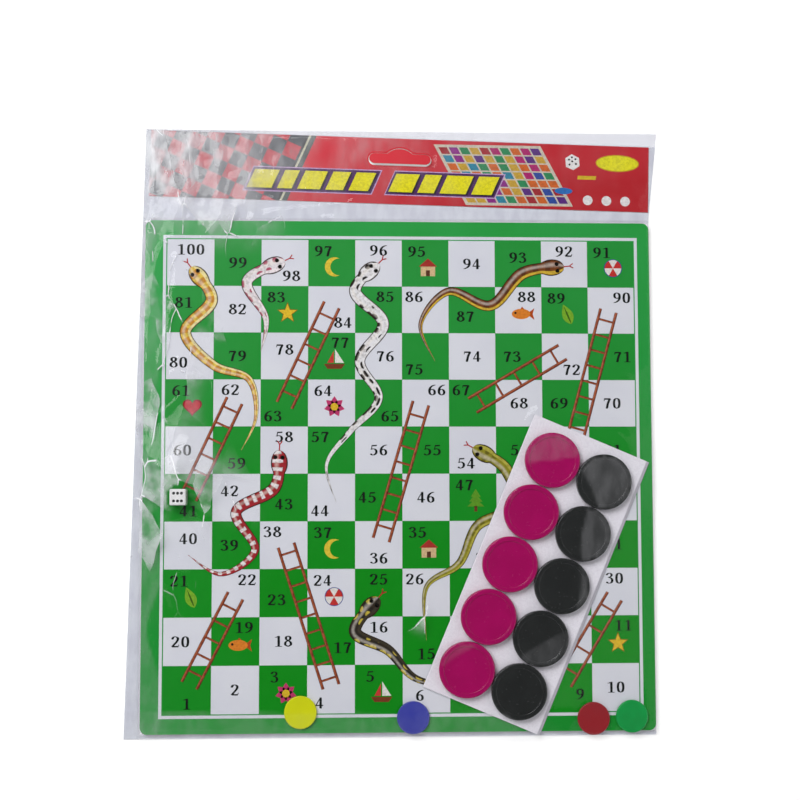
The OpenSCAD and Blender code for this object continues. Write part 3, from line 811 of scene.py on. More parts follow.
def glyph_mesh(digit, thickness):
    """Closed thin solid of one figure, from the joined outlines of its strokes."""
    points, faces = [], []
    for stroke in STROKES[digit]:
        outline = stroke_outline(*stroke)
        if area_of(outline) < 0:
            outline = outline[::-1]
        faces.append(list(range(len(points), len(points) + len(outline))))
        points += [Vector(p) for p in outline]
    joined, _, cells, _, _, origins = delaunay_2d_cdt(points, [], faces, 0, JOIN_GAP, True)
    kept = [list(cell) for cell, origin in zip(cells, origins) if origin]
    used = sorted({v for cell in kept for v in cell})
    index = {v: i for i, v in enumerate(used)}
    middle = np.array([FIGURE_W / 2, 0.5])
    ring = [np.array(joined[v]) - middle for v in used]
    verts = [(x, y, 0.0) for x, y in ring] + [(x, y, thickness) for x, y in ring]
    mesh = bpy.data.meshes.new(f"glyph_{digit}")
    mesh.from_pydata(verts, [], thin_solid([[index[v] for v in cell] for cell in kept], len(used)))
    mesh.update()
    return mesh


# Where a number may stand over a small picture and where the picture stands, in shares of the square
OVER_PICTURE = ((0.32, 0.76), (0.68, 0.79), (0.5, 0.79))
PICTURE_MIDDLE = (0.56, 0.42)
# Where a number may stand off the middle of a plain square, in the order of choice
ASIDE = [(dx, dy) for dy in (0.0, 0.14, -0.14, 0.28, -0.28) for dx in (0.0, -0.14, 0.14, -0.24, 0.24)]
# Half the width that a figure takes, and the room that a small picture and its number need, in millimetres
FIGURE_REACH = 1.9
PICTURE_ROOM = 7.4
NUMBER_ROOM = 1.4
# More room than this is no better, over a picture and in a plain square
FULL_ROOM = (3.0, 3.4)
# What a move by one square costs, and what a millimetre of room is worth
MOVE_COST = 6
ROOM_WORTH = 2
# Room round the draughts card in which no picture is printed
PACK_MARGIN = 6
FAR = 1e9


def segments_on_board():
    """Every piece of snake and ladder as a line with a half width, in millimetres in the part's frame."""
    parts = []
    for points in SNAKES:
        path = smooth_path(on_board(points), COARSE_STEPS)
        parts += [(path[i], path[i + 1], SNAKE_W / 2) for i in range(len(path) - 1)]
    for ends in LADDERS:
        foot, head = on_board(ends)
        parts.append((foot, head, LADDER_W / 2 + RAIL_W / 2))
    return parts


def clearance(points, parts):
    """Least distance from each point to the figures."""
    p = np.atleast_2d(points)
    best = np.full(len(p), FAR)
    for a, b, half in parts:
        d = b - a
        t = np.clip(((p - a) @ d) / (d @ d), 0, 1)
        best = np.minimum(best, np.linalg.norm(p - (a + t[:, None] * d), axis=1) - half)
    return best


def square_of(number):
    """Column and row of a number: the count runs to and fro, from 1 at the lower left."""
    row, step = divmod(number - 1, SQUARES)
    return (step if row % 2 == 0 else SQUARES - 1 - step), row


def over_picture(number):
    """Places for the number of a square that has a picture."""
    col, row = square_of(number)
    return np.array([on_board((col + dx, row + dy)) for dx, dy in OVER_PICTURE])


def number_room(number, spots, parts):
    """Least distance from a number's middle and ends to the figures, at each place."""
    reach = FIGURE_REACH * len(str(number))
    steps = [(-reach, 0.0), (0.0, 0.0), (reach, 0.0)]
    return np.minimum.reduce([clearance(spots + np.array(step), parts) for step in steps])


def picture_place(number):
    """Middle of a small picture in its square."""
    col, row = square_of(number)
    return on_board((col + PICTURE_MIDDLE[0], row + PICTURE_MIDDLE[1]))


def motif_squares(parts):
    """Squares clear enough for a small picture and its number: green ones, and every fourth of all."""
    made = []
    for number in range(2, SQUARES * SQUARES):
        col, row = square_of(number)
        covered = pack_cover(on_board((col + 0.5, row + 0.5)))
        clear = clearance(picture_place(number), parts)[0] > PICTURE_ROOM
        clear = clear and number_room(number, over_picture(number), parts).max() > NUMBER_ROOM
        if ((col + row) % 2 == 0 or number % 4 == 0) and clear and not covered:
            made.append(number)
    return made


def pack_cover(point):
    """True where the draughts card lies on the board."""
    local = own_frame(*point, PACK_PLACE, PACK_TURN)
    return all(abs(way) < size / 2 + PACK_MARGIN for way, size in zip(local, PACK_SIZE))


def number_places(parts, pictures):
    """Middle of each number: in its square's middle, or where snakes and ladders leave room."""
    made = {}
    for number in range(1, SQUARES * SQUARES + 1):
        col, row = square_of(number)
        if number in pictures:
            spots = over_picture(number)
            room = np.minimum(number_room(number, spots, parts), FULL_ROOM[0])
            made[number] = spots[int(np.argmax(room))]
            continue
        spots = np.array([on_board((col + 0.5 + dx, row + 0.5 + dy)) for dx, dy in ASIDE])
        room = np.minimum(number_room(number, spots, parts), FULL_ROOM[1])
        cost = np.hypot(*np.array(ASIDE).T) * MOVE_COST - room * ROOM_WORTH
        made[number] = spots[int(np.argmin(cost))]
    return made


def number_seeds(advance):
    """A point for each figure of each number, with its digit."""
    parts = segments_on_board()
    points, digits = [], []
    for number, middle in number_places(parts, motif_squares(parts)).items():
        text = str(number)
        for i, mark in enumerate(text):
            step = (i - (len(text) - 1) / 2) * advance
            points.append((middle[0] + step, middle[1], WHITE_TOP + 2 * INK_GAP))
            digits.append(int(mark))
    seeds = mesh_of("number_places", points, [])
    store(seeds, "digit", digits, "INT")
    return seeds


def figure_tree(ink):
    """Node tree that sets on each point the figure of its digit."""
    tree, add, entry = new_tree("set_figures", [
        ("Glyphs", "NodeSocketCollection"), ("Width", "NodeSocketFloat"), ("Height", "NodeSocketFloat")])
    figures = add("GeometryNodeCollectionInfo", {
        "Collection": entry["Glyphs"], "Separate Children": True, "Reset Children": True})
    which = add("GeometryNodeInputNamedAttribute", {"Name": "digit"}, "Attribute", data_type="INT")
    size = add("ShaderNodeCombineXYZ", [entry["Width"], entry["Height"], entry["Height"]])
    spread = add("GeometryNodeInstanceOnPoints", {
        "Points": entry["Geometry"], "Instance": figures, "Pick Instance": True, "Instance Index": which,
        "Scale": size})
    close_tree(add, spread, ink)
    return tree


class GAMESET_OT_numbers(bpy.types.Operator):
    """Prints the numbers of the squares: a node tree sets a figure on each point"""
    bl_idname = "gameset.numbers"
    bl_label = "Numbers"

    def execute(self, context):
        sheet = context.scene.game_print
        ink = number_ink(sheet)
        box = bpy.data.collections.new("glyphs")
        for digit in range(10):
            mesh = glyph_mesh(digit, sheet.ink / sheet.number_height)
            box.objects.link(bpy.data.objects.new(f"glyph_{digit}", mesh))
        piece = grow("square_numbers", number_seeds(sheet.number_advance / MM), figure_tree(ink), {
            "Glyphs": box, "Width": sheet.number_width, "Height": sheet.number_height}, ink)
        for glyph in list(box.objects):
            bpy.data.objects.remove(glyph)
        bpy.data.collections.remove(box)
        return {"FINISHED"}


# Board and its figures

def dress(node, material):
    """Gives a CAD node its material."""
    target = frame["nodes"][node]
    target.data.materials.clear()
    target.data.materials.append(material)


class GAMESET_OT_board(bpy.types.Operator):
    """Dresses the grey board and its printed papers"""
    bl_idname = "gameset.board"
    bl_label = "Board"

    def execute(self, context):
        sheet = context.scene.game_print
        dress("board_core", grey_board())
        dress("board_front_print", printed_board_front(sheet))
        dress("white_squares", printed_white(sheet))
        dress("board_back_print", printed_back("offset_print_red_back", "#A3252A", "#B0343A"))
        dress("back_squares", printed_back("offset_print_black_back", "#242426", "#303033"))
        return {"FINISHED"}


def store_across(add, shape, axis, width):
    """Stores each point's place across a shape, from -1 to 1 along an axis, for its print."""
    spot = add("ShaderNodeSeparateXYZ", [add("GeometryNodeInputPosition")], axis)
    half = add("ShaderNodeMath", [width, 0.5], operation="MULTIPLY")
    share = add("ShaderNodeMath", [spot, half], operation="DIVIDE")
    return add("GeometryNodeStoreNamedAttribute", {"Geometry": shape, "Name": "across", "Value": share})


def ladder_rungs(add, lines, width, rung, step, thick):
    """Rungs at even steps along each line, with equal spare lengths at both ends."""
    length = add("GeometryNodeSplineLength", out="Length")
    room = add("ShaderNodeMath", [length, step], operation="SUBTRACT")
    room = add("ShaderNodeMath", [room, step], operation="DIVIDE")
    count = add("ShaderNodeMath", [room], operation="FLOOR")
    taken = add("ShaderNodeMath", [count, step], operation="MULTIPLY")
    spare = add("ShaderNodeMath", [length, taken], operation="SUBTRACT")
    first = add("ShaderNodeMath", [spare, 0.5], operation="MULTIPLY")
    last = add("ShaderNodeMath", [length, first], operation="SUBTRACT")
    run = add("GeometryNodeTrimCurve", {"Curve": lines, 4: first, 5: last}, mode="LENGTH")
    stops = add("ShaderNodeMath", [count, 1.0], operation="ADD")
    spaced = add("GeometryNodeResampleCurve", {"Curve": run, "Count": stops})
    marks = add("GeometryNodeCurveToPoints", {"Curve": spaced}, mode="EVALUATED").node.outputs
    low = add("ShaderNodeMath", [thick, RUNG_SHARE], operation="MULTIPLY")
    block = add("GeometryNodeMeshCube", {"Size": add("ShaderNodeCombineXYZ", [width, low, rung])})
    block = store_across(add, block, 2, rung)
    return add("GeometryNodeInstanceOnPoints", {
        "Points": marks["Points"], "Instance": block, "Rotation": marks["Rotation"]})


def ladder_tree(ink):
    """Node tree that turns each line into two rails and its rungs."""
    names = ("Width", "Rail", "Rung", "Step", "Thickness")
    tree, add, entry = new_tree("lines_to_ladders", [(name, "NodeSocketFloat") for name in names])
    width, rail, rung, step, thick = (entry[name] for name in names)
    lines = add("GeometryNodeMeshToCurve", {"Mesh": entry["Geometry"]})
    lines = add("GeometryNodeSetCurveNormal", {"Curve": lines}, mode="Z_UP")
    side = add("GeometryNodeInputNormal")
    bar = add("GeometryNodeCurvePrimitiveQuadrilateral", {"Width": rail, "Height": thick})
    bar = store_across(add, bar, 0, rail)
    joined = add("GeometryNodeJoinGeometry")
    for share in (-0.5, 0.5):
        reach = add("ShaderNodeMath", [width, share], operation="MULTIPLY")
        offset = add("ShaderNodeVectorMath", {0: side, "Scale": reach}, operation="SCALE")
        moved = add("GeometryNodeSetPosition", {"Geometry": lines, "Offset": offset})
        swept = add("GeometryNodeCurveToMesh", {"Curve": moved, "Profile Curve": bar, "Fill Caps": True})
        tree.links.new(swept, joined.node.inputs[0])
    tree.links.new(ladder_rungs(add, lines, width, rung, step, thick), joined.node.inputs[0])
    close_tree(add, joined, ink)
    return tree


class GAMESET_OT_ladders(bpy.types.Operator):
    """Draws the ladders: a node tree turns each line into two rails and its rungs"""
    bl_idname = "gameset.ladders"
    bl_label = "Ladders"

    def execute(self, context):
        ink = ladder_print()
        points, edges = [], []
        for ends in LADDERS:
            edges.append((len(points), len(points) + 1))
            points += [tuple(p) + (LADDER_TOP - INK_T / 2,) for p in on_board(ends)]
        seeds = mesh_of("ladder_lines", points, [], edges=edges)
        piece = grow("printed_ladders", seeds, ladder_tree(ink), {
            "Width": LADDER_W * MM, "Rail": RAIL_W * MM, "Rung": RUNG_W * MM, "Step": RUNG_STEP * MM,
            "Thickness": INK_T * MM}, ink)
        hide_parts("ladders")
        return {"FINISHED"}


# Kind, ground, second colour, belly and length of one mark, for each snake
SNAKE_LOOKS = [
    ("bands", "#C98A2C", "#E6C24A", "#EFE0A0", 5.2),
    ("spots", "#E3DCDD", "#B0566A", "#F0E6E6", 4.4),
    ("spots", "#E6E4E4", "#1D1B1C", "#EDEBEA", 5.0),
    ("bands", "#7A431F", "#5A2F16", "#D8B33A", 6.5),
    ("spots", "#8F8A22", "#6F6A1A", "#B5AE46", 3.6),
    ("bands", "#A3262E", "#E9E2E2", "#A3262E", 4.2),
    ("spots", "#26241F", "#C9B544", "#3A352A", 4.6),
]


TAIL_W = 0.24
RIBBON_POINTS = 7
# One side of a snake's tongue, ahead of its nose and to the side, and the notch between its tips
FORK = ((-1.2, 0.3), (2.6, 0.28), (4.4, 1.4), (4.6, 0.9))
NOTCH = (3.2, 0.0)
# A snake's eyes: distance from its middle line, place ahead of its nose, and radius
EYE_REACH = 1.75
EYE_PLACE = -3.6
EYE_R = 1.05
PUPIL_PLACE = -3.3
PUPIL_R = 0.5
FACE_T = 0.005


def snake_half(s, length):
    """Half the width of a snake at a distance from its nose, as part.scad has it."""
    head = SNAKE_HEAD_W / 2 * np.sqrt(np.maximum(0, 1 - (2 * s / SNAKE_HEAD_L - 1) ** 2))
    neck = NECK_SHARE + (1 - NECK_SHARE) * np.minimum(1, s / NECK_L)
    body = SNAKE_W / 2 * neck * (1 - (s / length) ** 2)
    return np.where(s < SNAKE_HEAD_L / 2, head, np.maximum(head, body))


def snake_mesh(name, points, thickness):
    """Closed ribbon along a snake's path, with along and across for its print."""
    path = smooth_path(on_board(points), PATH_STEPS)
    run, across, _ = path_frame(path)
    half = np.maximum(snake_half(run, run[-1]), TAIL_W / 2)
    columns = np.linspace(-1, 1, RIBBON_POINTS)
    n, m = len(path), len(columns)
    flat = path[:, None, :] + across[:, None, :] * (half[:, None] * columns[None, :])[:, :, None]
    flat = flat.reshape(-1, 2)
    low = np.c_[flat, np.full(len(flat), SNAKE_TOP - thickness)]
    high = np.c_[flat, np.full(len(flat), SNAKE_TOP)]
    mesh = mesh_of(name, np.vstack([low, high]), thin_solid(grid_faces(n, m), n * m))
    store(mesh, "along", np.tile(np.repeat(run, m), 2))
    store(mesh, "across", np.tile(np.tile(columns, n), 2))
    return mesh


def snake_face(points):
    """Eyes and tongue at a snake's nose."""
    path = smooth_path(on_board(points), PATH_STEPS)
    nose, ahead = path[0], -path_frame(path)[2][1]
    side = np.array([-ahead[1], ahead[0]])

    def at(forward, left):
        return nose + ahead * forward + side * left

    half = [at(*spot) for spot in FORK] + [at(*NOTCH)]
    figures = [(half + [at(ahead_of, -left) for ahead_of, left in FORK[::-1]], "#B3202A", 0)]
    for left in (-EYE_REACH, EYE_REACH):
        figures.append((ellipse(EYE_R, EYE_R, at(EYE_PLACE, left), 18), "#F2EFE6", 1))
        figures.append((ellipse(PUPIL_R, PUPIL_R, at(PUPIL_PLACE, left), 14), "#17130F", 2))
    return figures


class GAMESET_OT_snakes(bpy.types.Operator):
    """Draws the snakes, each as a ribbon with its own skin, and their eyes and tongues"""
    bl_idname = "gameset.snakes"
    bl_label = "Snakes"

    def execute(self, context):
        faces = []
        for i, (points, look) in enumerate(zip(SNAKES, SNAKE_LOOKS), 1):
            kind, base, second, belly, period = look
            skin = snake_print(f"offset_print_snake_{kind}_{i}", kind, base, second, belly, period)
            piece = link(f"printed_snake_{i}", snake_mesh(f"printed_snake_{i}", points, INK_T), skin)
            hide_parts("snakes")
            faces += snake_face(points)
        mesh = flat_figures("snake_faces", faces, SNAKE_TOP - 2 * FACE_T, FACE_T)
        link("snake_faces", mesh, tinted_print("offset_print_snake_eyes_and_tongues"))
        return {"FINISHED"}


# Small pictures: each gives outlines in millimetres round the origin, with their inks and layers

def star(points, outer, inner):
    """Outline of a star, with a point straight up."""
    a = math.pi / 2 + np.arange(2 * points) * math.pi / points
    r = np.where(np.arange(2 * points) % 2 == 0, outer, inner)
    return np.c_[r * np.cos(a), r * np.sin(a)]


def drop(length, width, steps=20):
    """Pointed petal or leaf from the origin along +Y."""
    t = np.linspace(0, 1, steps)
    half = width / 2 * np.sin(math.pi * t ** 0.8)
    return np.vstack([np.c_[half, t * length], np.c_[-half[::-1], t[::-1] * length][1:-1]])


def flower():
    figures = [(turned(drop(4.2, 2.6), (0, 0), a), "#C2386C", 0) for a in np.arange(7) * 2 * math.pi / 7]
    return figures + [(ellipse(1.5, 1.5), "#E2B92C", 1)]


def leaf():
    blade, rib = (turned(drop(*size), (1.6, -4.0), 0.4) for size in ((8.6, 4.4), (8.0, 0.7)))
    return [(blade, "#7DB02A", 0), (rib, "#3C6414", 1)]


def shining_star():
    return [(star(5, 4.4, 1.9), "#8A5A12", 0), (star(5, 3.8, 1.6), "#E8C02A", 1)]


def ball():
    figures = [(ellipse(3.7, 3.7), "#23408F", 0), (ellipse(3.4, 3.4), "#E7E3DC", 1)]
    for k in range(3):
        a = np.linspace(2 * k, 2 * k + 1, 9) * math.pi / 3
        figures.append((np.vstack([[(0, 0)], np.c_[3.4 * np.cos(a), 3.4 * np.sin(a)]]), "#C8332E", 2))
    return figures


def fish():
    return [([(2.2, 0.0), (5.4, 2.4), (4.7, 0.0), (5.4, -2.4)], "#B84A18", 0),
            (ellipse(3.8, 2.1), "#E0832A", 1),
            ([(-0.8, 1.2), (0.4, 3.0), (1.8, 1.4)], "#B84A18", 0),
            (ellipse(0.5, 0.5, (-2.3, 0.4), 12), "#1A1410", 2)]


def boat():
    return [([(-4.2, -1.6), (4.2, -1.6), (2.8, -3.6), (-2.8, -3.6)], "#7A3A1E", 0),
            ([(0.2, -1.2), (0.2, 4.4), (3.8, -1.2)], "#E8E4DC", 0),
            ([(-0.3, -1.2), (-0.3, 3.6), (-2.9, -1.2)], "#C93A34", 0)]


def tree_picture():
    figures = [([(-0.6, -4.2), (0.6, -4.2), (0.6, -2.0), (-0.6, -2.0)], "#6B3A1C", 0)]
    for k, w in enumerate((3.4, 2.7, 2.0)):
        figures.append(([(-w, -2.2 + 1.9 * k), (w, -2.2 + 1.9 * k), (0.0, 1.0 + 1.9 * k)], "#5F9A24", k))
    return figures


def house():
    return [([(-2.9, -3.6), (2.9, -3.6), (2.9, 0.4), (-2.9, 0.4)], "#D9B98A", 0),
            ([(-3.7, 0.3), (3.7, 0.3), (0.0, 3.6)], "#A8322A", 1),
            ([(-0.8, -3.6), (0.8, -3.6), (0.8, -1.2), (-0.8, -1.2)], "#5A3420", 1)]


def heart():
    t = np.linspace(0, 2 * math.pi, 40, endpoint=False)
    shape = np.c_[16 * np.sin(t) ** 3, 13 * np.cos(t) - 5 * np.cos(2 * t) - 2 * np.cos(3 * t) - np.cos(4 * t)]
    return [(shape * 0.24, "#8E1420", 0), (shape * 0.2, "#C92A36", 1)]


def moon():
    a = np.radians(np.linspace(60, 300, 24))
    b = np.radians(np.linspace(274, 86, 24))[1:-1]
    outer = np.c_[3.9 * np.cos(a), 3.9 * np.sin(a)]
    inner = np.c_[1.7 + 3.39 * np.cos(b), 3.39 * np.sin(b)]
    return [(np.vstack([outer, inner]), "#E3C63C", 0)]


PICTURE_SIZE = 1.25
MOTIFS = (flower, boat, shining_star, fish, leaf, ball, house, moon, tree_picture, heart)


class GAMESET_OT_pictures(bpy.types.Operator):
    """Prints small plain pictures in squares that the snakes and ladders leave free"""
    bl_idname = "gameset.pictures"
    bl_label = "Small pictures"

    def execute(self, context):
        figures = []
        for i, number in enumerate(motif_squares(segments_on_board())):
            for outline, colour, layer in MOTIFS[i % len(MOTIFS)]():
                figures.append((turned(outline, picture_place(number), 0.0, PICTURE_SIZE), colour, layer))
        mesh = flat_figures("square_pictures", figures, WHITE_TOP + INK_GAP, LAYER_T)
        link("square_pictures", mesh, tinted_print("offset_print_small_pictures"))
        return {"FINISHED"}


# Header card

def clipped(outline, half_x, half_y):
    """The part of a convex outline inside a rectangle round the origin."""
    for axis, limit in ((0, half_x), (0, -half_x), (1, half_y), (1, -half_y)):
        sign = 1 if limit > 0 else -1
        kept = []
        for i, p in enumerate(outline):
            q = outline[(i + 1) % len(outline)]
            inside_p, inside_q = sign * p[axis] <= abs(limit), sign * q[axis] <= abs(limit)
            if inside_p:
                kept.append(p)
            if inside_p != inside_q:
                t = (limit - p[axis]) / (q[axis] - p[axis])
                kept.append((p[0] + t * (q[0] - p[0]), p[1] + t * (q[1] - p[1])))
        outline = kept
        if len(outline) < 3:
            return []
    return outline


def lattice(origin, first, second, columns, rows):
    """Outlines of the cells of a slanting grid, with their column and row."""
    o, u, v = (np.array(p, float) for p in (origin, first, second))
    for c in range(columns):
        for r in range(rows):
            corner = o + u * c + v * r
            yield c, r, [tuple(corner), tuple(corner + u), tuple(corner + u + v), tuple(corner + v)]


def shrunk(outline, share):
    """Outline scaled about its middle."""
    p = np.asarray(outline, float)
    middle = p.mean(axis=0)
    return [tuple(middle + (q - middle) * share) for q in p]


def slanted(x, y, width, height, lean):
    """Outline of a block whose top leans to the right."""
    return [(x, y), (x + width, y), (x + width + lean, y + height), (x + lean, y + height)]


# Slanting grids of the header's print: first corner, step along, step across, columns and rows
CHEQUER = ((-140.0, -26.0), (7.0, -2.9), (2.9, 7.0), 9, 11)
COLOUR_GRID = ((18.0, 13.6), (5.2, 0.1), (2.3, -4.1), 10, 7)
GRID_INKS = ("#2D8A57", "#B0226C", "#2F4C9C", "#D0662A", "#A3262E", "#5A2A7E", "#2A86A0", "#C9A23A",
             "#8E2A86")
# Rows of slanted blocks on the header: where each starts, and the widths of its blocks
BLOCKS = ((-78.0, (13.0, 8.0, 12.0, 9.5, 10.5)), (-6.5, (12.5, 9.0, 14.0, 11.0)))
BLOCK_GAP = 2.2
# Layers under a row and of a block: left and lower edge, added width, height, lean, ink and layer
ROW_LAYERS = ((-1.9, -12.4, 3.4, 12.8, 5.2, "#C7A3D0", 3), (-1.3, -11.9, 2.4, 11.8, 4.8, "#4A1A5C", 4))
BLOCK_LAYERS = ((0.9, -11.2, -0.4, 9.6, 4.0, "#1D1024", 5), (0.2, -10.6, -0.6, 9.4, 4.0, "#EAE10E", 6))
# Strips at the chequer's right edge: start and end in cells, and ink
STRIPS = ((0.0, 0.16, "#3A3D40"), (0.16, 0.3, "#CFCDB0"), (0.3, 0.62, "#4A5550"))
# Roughness of the header's print
HEADER_ROUGHNESS = 0.36
# Die printed on the header: middle, outline, spots, and half width and height of a spot
HEADER_DIE = (87.5, 8.0)
DIE_OUTLINE = ((-3.4, -2.6), (0.4, -4.2), (3.6, -2.0), (3.2, 2.2), (-0.6, 4.0), (-3.8, 1.8))
DIE_SPOTS = ((-1.9, 1.2), (-0.4, 2.4), (1.4, 1.5), (-0.2, 0.3), (-1.6, -1.4), (1.7, -1.0))
DIE_SPOT = (0.55, 0.5)
# Ovals and dots: half width, half height, middle, ink and layer
OVALS = (
    (11.2, 4.4, (110.5, 8.0), "#C9A52A", 1),
    (10.6, 3.9, (110.5, 8.0), "#E6E02A", 2),
    (4.6, 1.7, (83.0, -7.2), "#2A6FB8", 3),
    (2.5, 2.5, (95.5, -11.6), "#E9E6E4", 1),
    (2.5, 2.5, (105.1, -11.6), "#E9E6E4", 1),
    (2.5, 2.5, (114.7, -11.6), "#E9E6E4", 1),
)
BAR = (90.0, -0.9, 9.4, 1.9, 0.3)
# Colour grid: seed of its inks, margin of its pale sheet, and share of a cell that is printed
GRID_SEED = 7
GRID_MARGIN = 0.25
GRID_FILL = 0.84
# Print ends this far inside the card's edge
CUT_MARGIN = 0.02


def header_chequer():
    """Chequer at the header's left, with narrow strips along its right edge."""
    corner, along, up = (np.array(p) for p in CHEQUER[:3])
    columns, rows = CHEQUER[3:]
    figures = [(cell, "#53575C" if (c + r) % 2 else "#C93C48", 1) for c, r, cell in lattice(*CHEQUER)]
    for first, last, colour in STRIPS:
        start, end = (corner + along * (columns + share) for share in (first, last))
        figures.append(([start, end, end + up * rows, start + up * rows], colour, 1))
    return figures


def header_blocks():
    """Two rows of slanted blocks, each on a dark strip with a pale rim."""
    figures = []

    def lay(x, width, layers):
        for left, low, added, height, lean, ink, layer in layers:
            figures.append((slanted(x + left, low, width + added, height, lean), ink, layer))

    for x, widths in BLOCKS:
        lay(x, sum(widths) + BLOCK_GAP * (len(widths) - 1), ROW_LAYERS)
        for width in widths:
            lay(x, width, BLOCK_LAYERS)
            x += width + BLOCK_GAP
    return figures


def header_grid():
    """Pale sheet with a grid of small coloured cells."""
    rng = np.random.RandomState(GRID_SEED)
    o, u, v = (np.array(p) for p in COLOUR_GRID[:3])
    columns, rows = COLOUR_GRID[3:]
    ends = [(-GRID_MARGIN, count + GRID_MARGIN) for count in (columns, rows)]
    order = ((0, 0), (1, 0), (1, 1), (0, 1))
    figures = [([o + u * ends[0][a] + v * ends[1][b] for a, b in order], "#CFC6B4", 1)]
    for _, _, cell in lattice(*COLOUR_GRID):
        figures.append((shrunk(cell, GRID_FILL), GRID_INKS[rng.randint(len(GRID_INKS))], 2))
    return figures


def header_figures():
    """Plain print of the header card: chequer, slanted blocks, colour grid, die, ovals, bar and dots."""
    figures = header_chequer() + header_blocks() + header_grid()
    figures.append((np.array(DIE_OUTLINE) + HEADER_DIE, "#E9E7E4", 3))
    figures += [(ellipse(*DIE_SPOT, np.array(HEADER_DIE) + spot, 12), "#1A1A1C", 4) for spot in DIE_SPOTS]
    figures += [(ellipse(rx, ry, middle), ink, layer) for rx, ry, middle, ink, layer in OVALS]
    figures.append((slanted(*BAR), "#D8B82C", 1))
    made = []
    for outline, colour, layer in figures:
        part = clipped([tuple(p) for p in outline], *(size / 2 - CUT_MARGIN for size in HEADER_SIZE))
        if part:
            made.append((turned(part, HEADER_PLACE, HEADER_TURN), colour, layer))
    return made


class GAMESET_OT_header(bpy.types.Operator):
    """Dresses the header card and its tab, and prints plain figures on the card"""
    bl_idname = "gameset.header"
    bl_label = "Header card"

    def execute(self, context):
        card = header_print(context.scene.game_print)
        dress("header_card", card)
        dress("hang_tab", card)
        mesh = flat_figures("header_figures", header_figures(), HEADER_TOP + INK_GAP, LAYER_T)
        ink = tinted_print("offset_print_header_figures", HEADER_ROUGHNESS)
        link("header_figures", mesh, ink)
        return {"FINISHED"}


# Loose pieces

# Raised rim of a draught: width, height above the face, and rounding outside and inside
RIM_W = 2.4
RIM_H = 0.5
RIM_R = 0.75
RIM_INNER_R = 0.25


def draught_profile():
    """Half section of a draught from the middle of its base to that of its face, as radius and height."""
    r, t = DRAUGHT_D / 2, DRAUGHT_T

    def arc(cx, cz, radius, start, end, steps=7):
        a = np.radians(np.linspace(start, end, steps))
        return [(cx + radius * math.cos(k), cz + radius * math.sin(k)) for k in a]

    line = [(0.0, 0.0)] + arc(r - RIM_R, RIM_R, RIM_R, -90, 0) + arc(r - RIM_R, t - RIM_R, RIM_R, 0, 90)
    inner, curve = r - RIM_W, RIM_INNER_R
    line += arc(inner + curve, t - curve, curve, 90, 180)
    line += arc(inner - curve, t - RIM_H + curve, curve, 0, -90)
    return line + [(0.0, t - RIM_H)]


def draught_mesh(name, middle, steps=120):
    """Closed turned solid of a draught, smooth round its edges."""
    line = draught_profile()
    rings = line[1:-1]
    a = np.arange(steps) * 2 * math.pi / steps
    points = [(0.0, 0.0, 0.0)]
    for radius, height in rings:
        points += list(np.c_[radius * np.cos(a), radius * np.sin(a), np.full(steps, height)])
    points.append((0.0, 0.0, line[-1][1]))
    last = len(points) - 1
    faces = [[0, 1 + (k + 1) % steps, 1 + k] for k in range(steps)]
    for i in range(len(rings) - 1):
        low, high = 1 + i * steps, 1 + (i + 1) * steps
        faces += [[low + k, low + (k + 1) % steps, high + (k + 1) % steps, high + k] for k in range(steps)]
    top = 1 + (len(rings) - 1) * steps
    faces += [[top + k, top + (k + 1) % steps, last] for k in range(steps)]
    return mesh_of(name, np.array(points) + np.array([middle[0], middle[1], DRAUGHT_LOW]), faces, True)


class GAMESET_OT_draughts(bpy.types.Operator):
    """Dresses the folded card and turns its ten draughts"""
    bl_idname = "gameset.draughts"
    bl_label = "Draughts"

    def execute(self, context):
        colours = context.scene.game_plastics
        dress("draughts_card", white_card())
        magenta = moulded_plastic("moulded_polystyrene_magenta", colours.magenta, "#B00260")
        black = moulded_plastic("moulded_polystyrene_black", colours.black, "#2B2D2C")
        for name in DRAUGHTS:
            side = name.split("_")[1]
            piece = link(f"turned_{name}", draught_mesh(f"turned_{name}", middle_of(name)),
                         magenta if side == "magenta" else black, name)
            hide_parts(name)
        return {"FINISHED"}


class GAMESET_OT_counters(bpy.types.Operator):
    """Dresses the four counters"""
    bl_idname = "gameset.counters"
    bl_label = "Counters"

    def execute(self, context):
        colours = context.scene.game_plastics
        for name, flow in zip(COUNTERS, ("#CCD00C", "#4A50A8", "#8E2A30", "#0A8A3A")):
            made = moulded_plastic(f"moulded_polystyrene_{name}", getattr(colours, name), flow, 0.3)
            dress(f"counter_{name}", made)
        return {"FINISHED"}


PIPS = {1: [(0, 0)], 2: [(-1, -1), (1, 1)], 4: [(-1, -1), (1, 1), (-1, 1), (1, -1)]}
PIPS[3] = PIPS[1] + PIPS[2]
PIPS[5] = PIPS[1] + PIPS[4]
PIPS[6] = PIPS[4] + [(-1, 0), (1, 0)]
# Pips: distance of the outer ones from the middle, radius, depth, and sharpness of the paint's edge
PIP_STEP = 1.9
PIP_R = 0.75
PIP_DEPTH = 0.35
PAINT_EDGE = 4
WELD_GAP = 1e-7

# Face of the die: outward axis, the axis its rows of three run along, and its count
DIE_FACES = [((0, 0, 1), (1, 0, 0), 6), ((0, 0, -1), (1, 0, 0), 1), ((0, -1, 0), (1, 0, 0), 5),
             ((0, 1, 0), (1, 0, 0), 2), ((1, 0, 0), (0, 1, 0), 3), ((-1, 0, 0), (0, 1, 0), 4)]


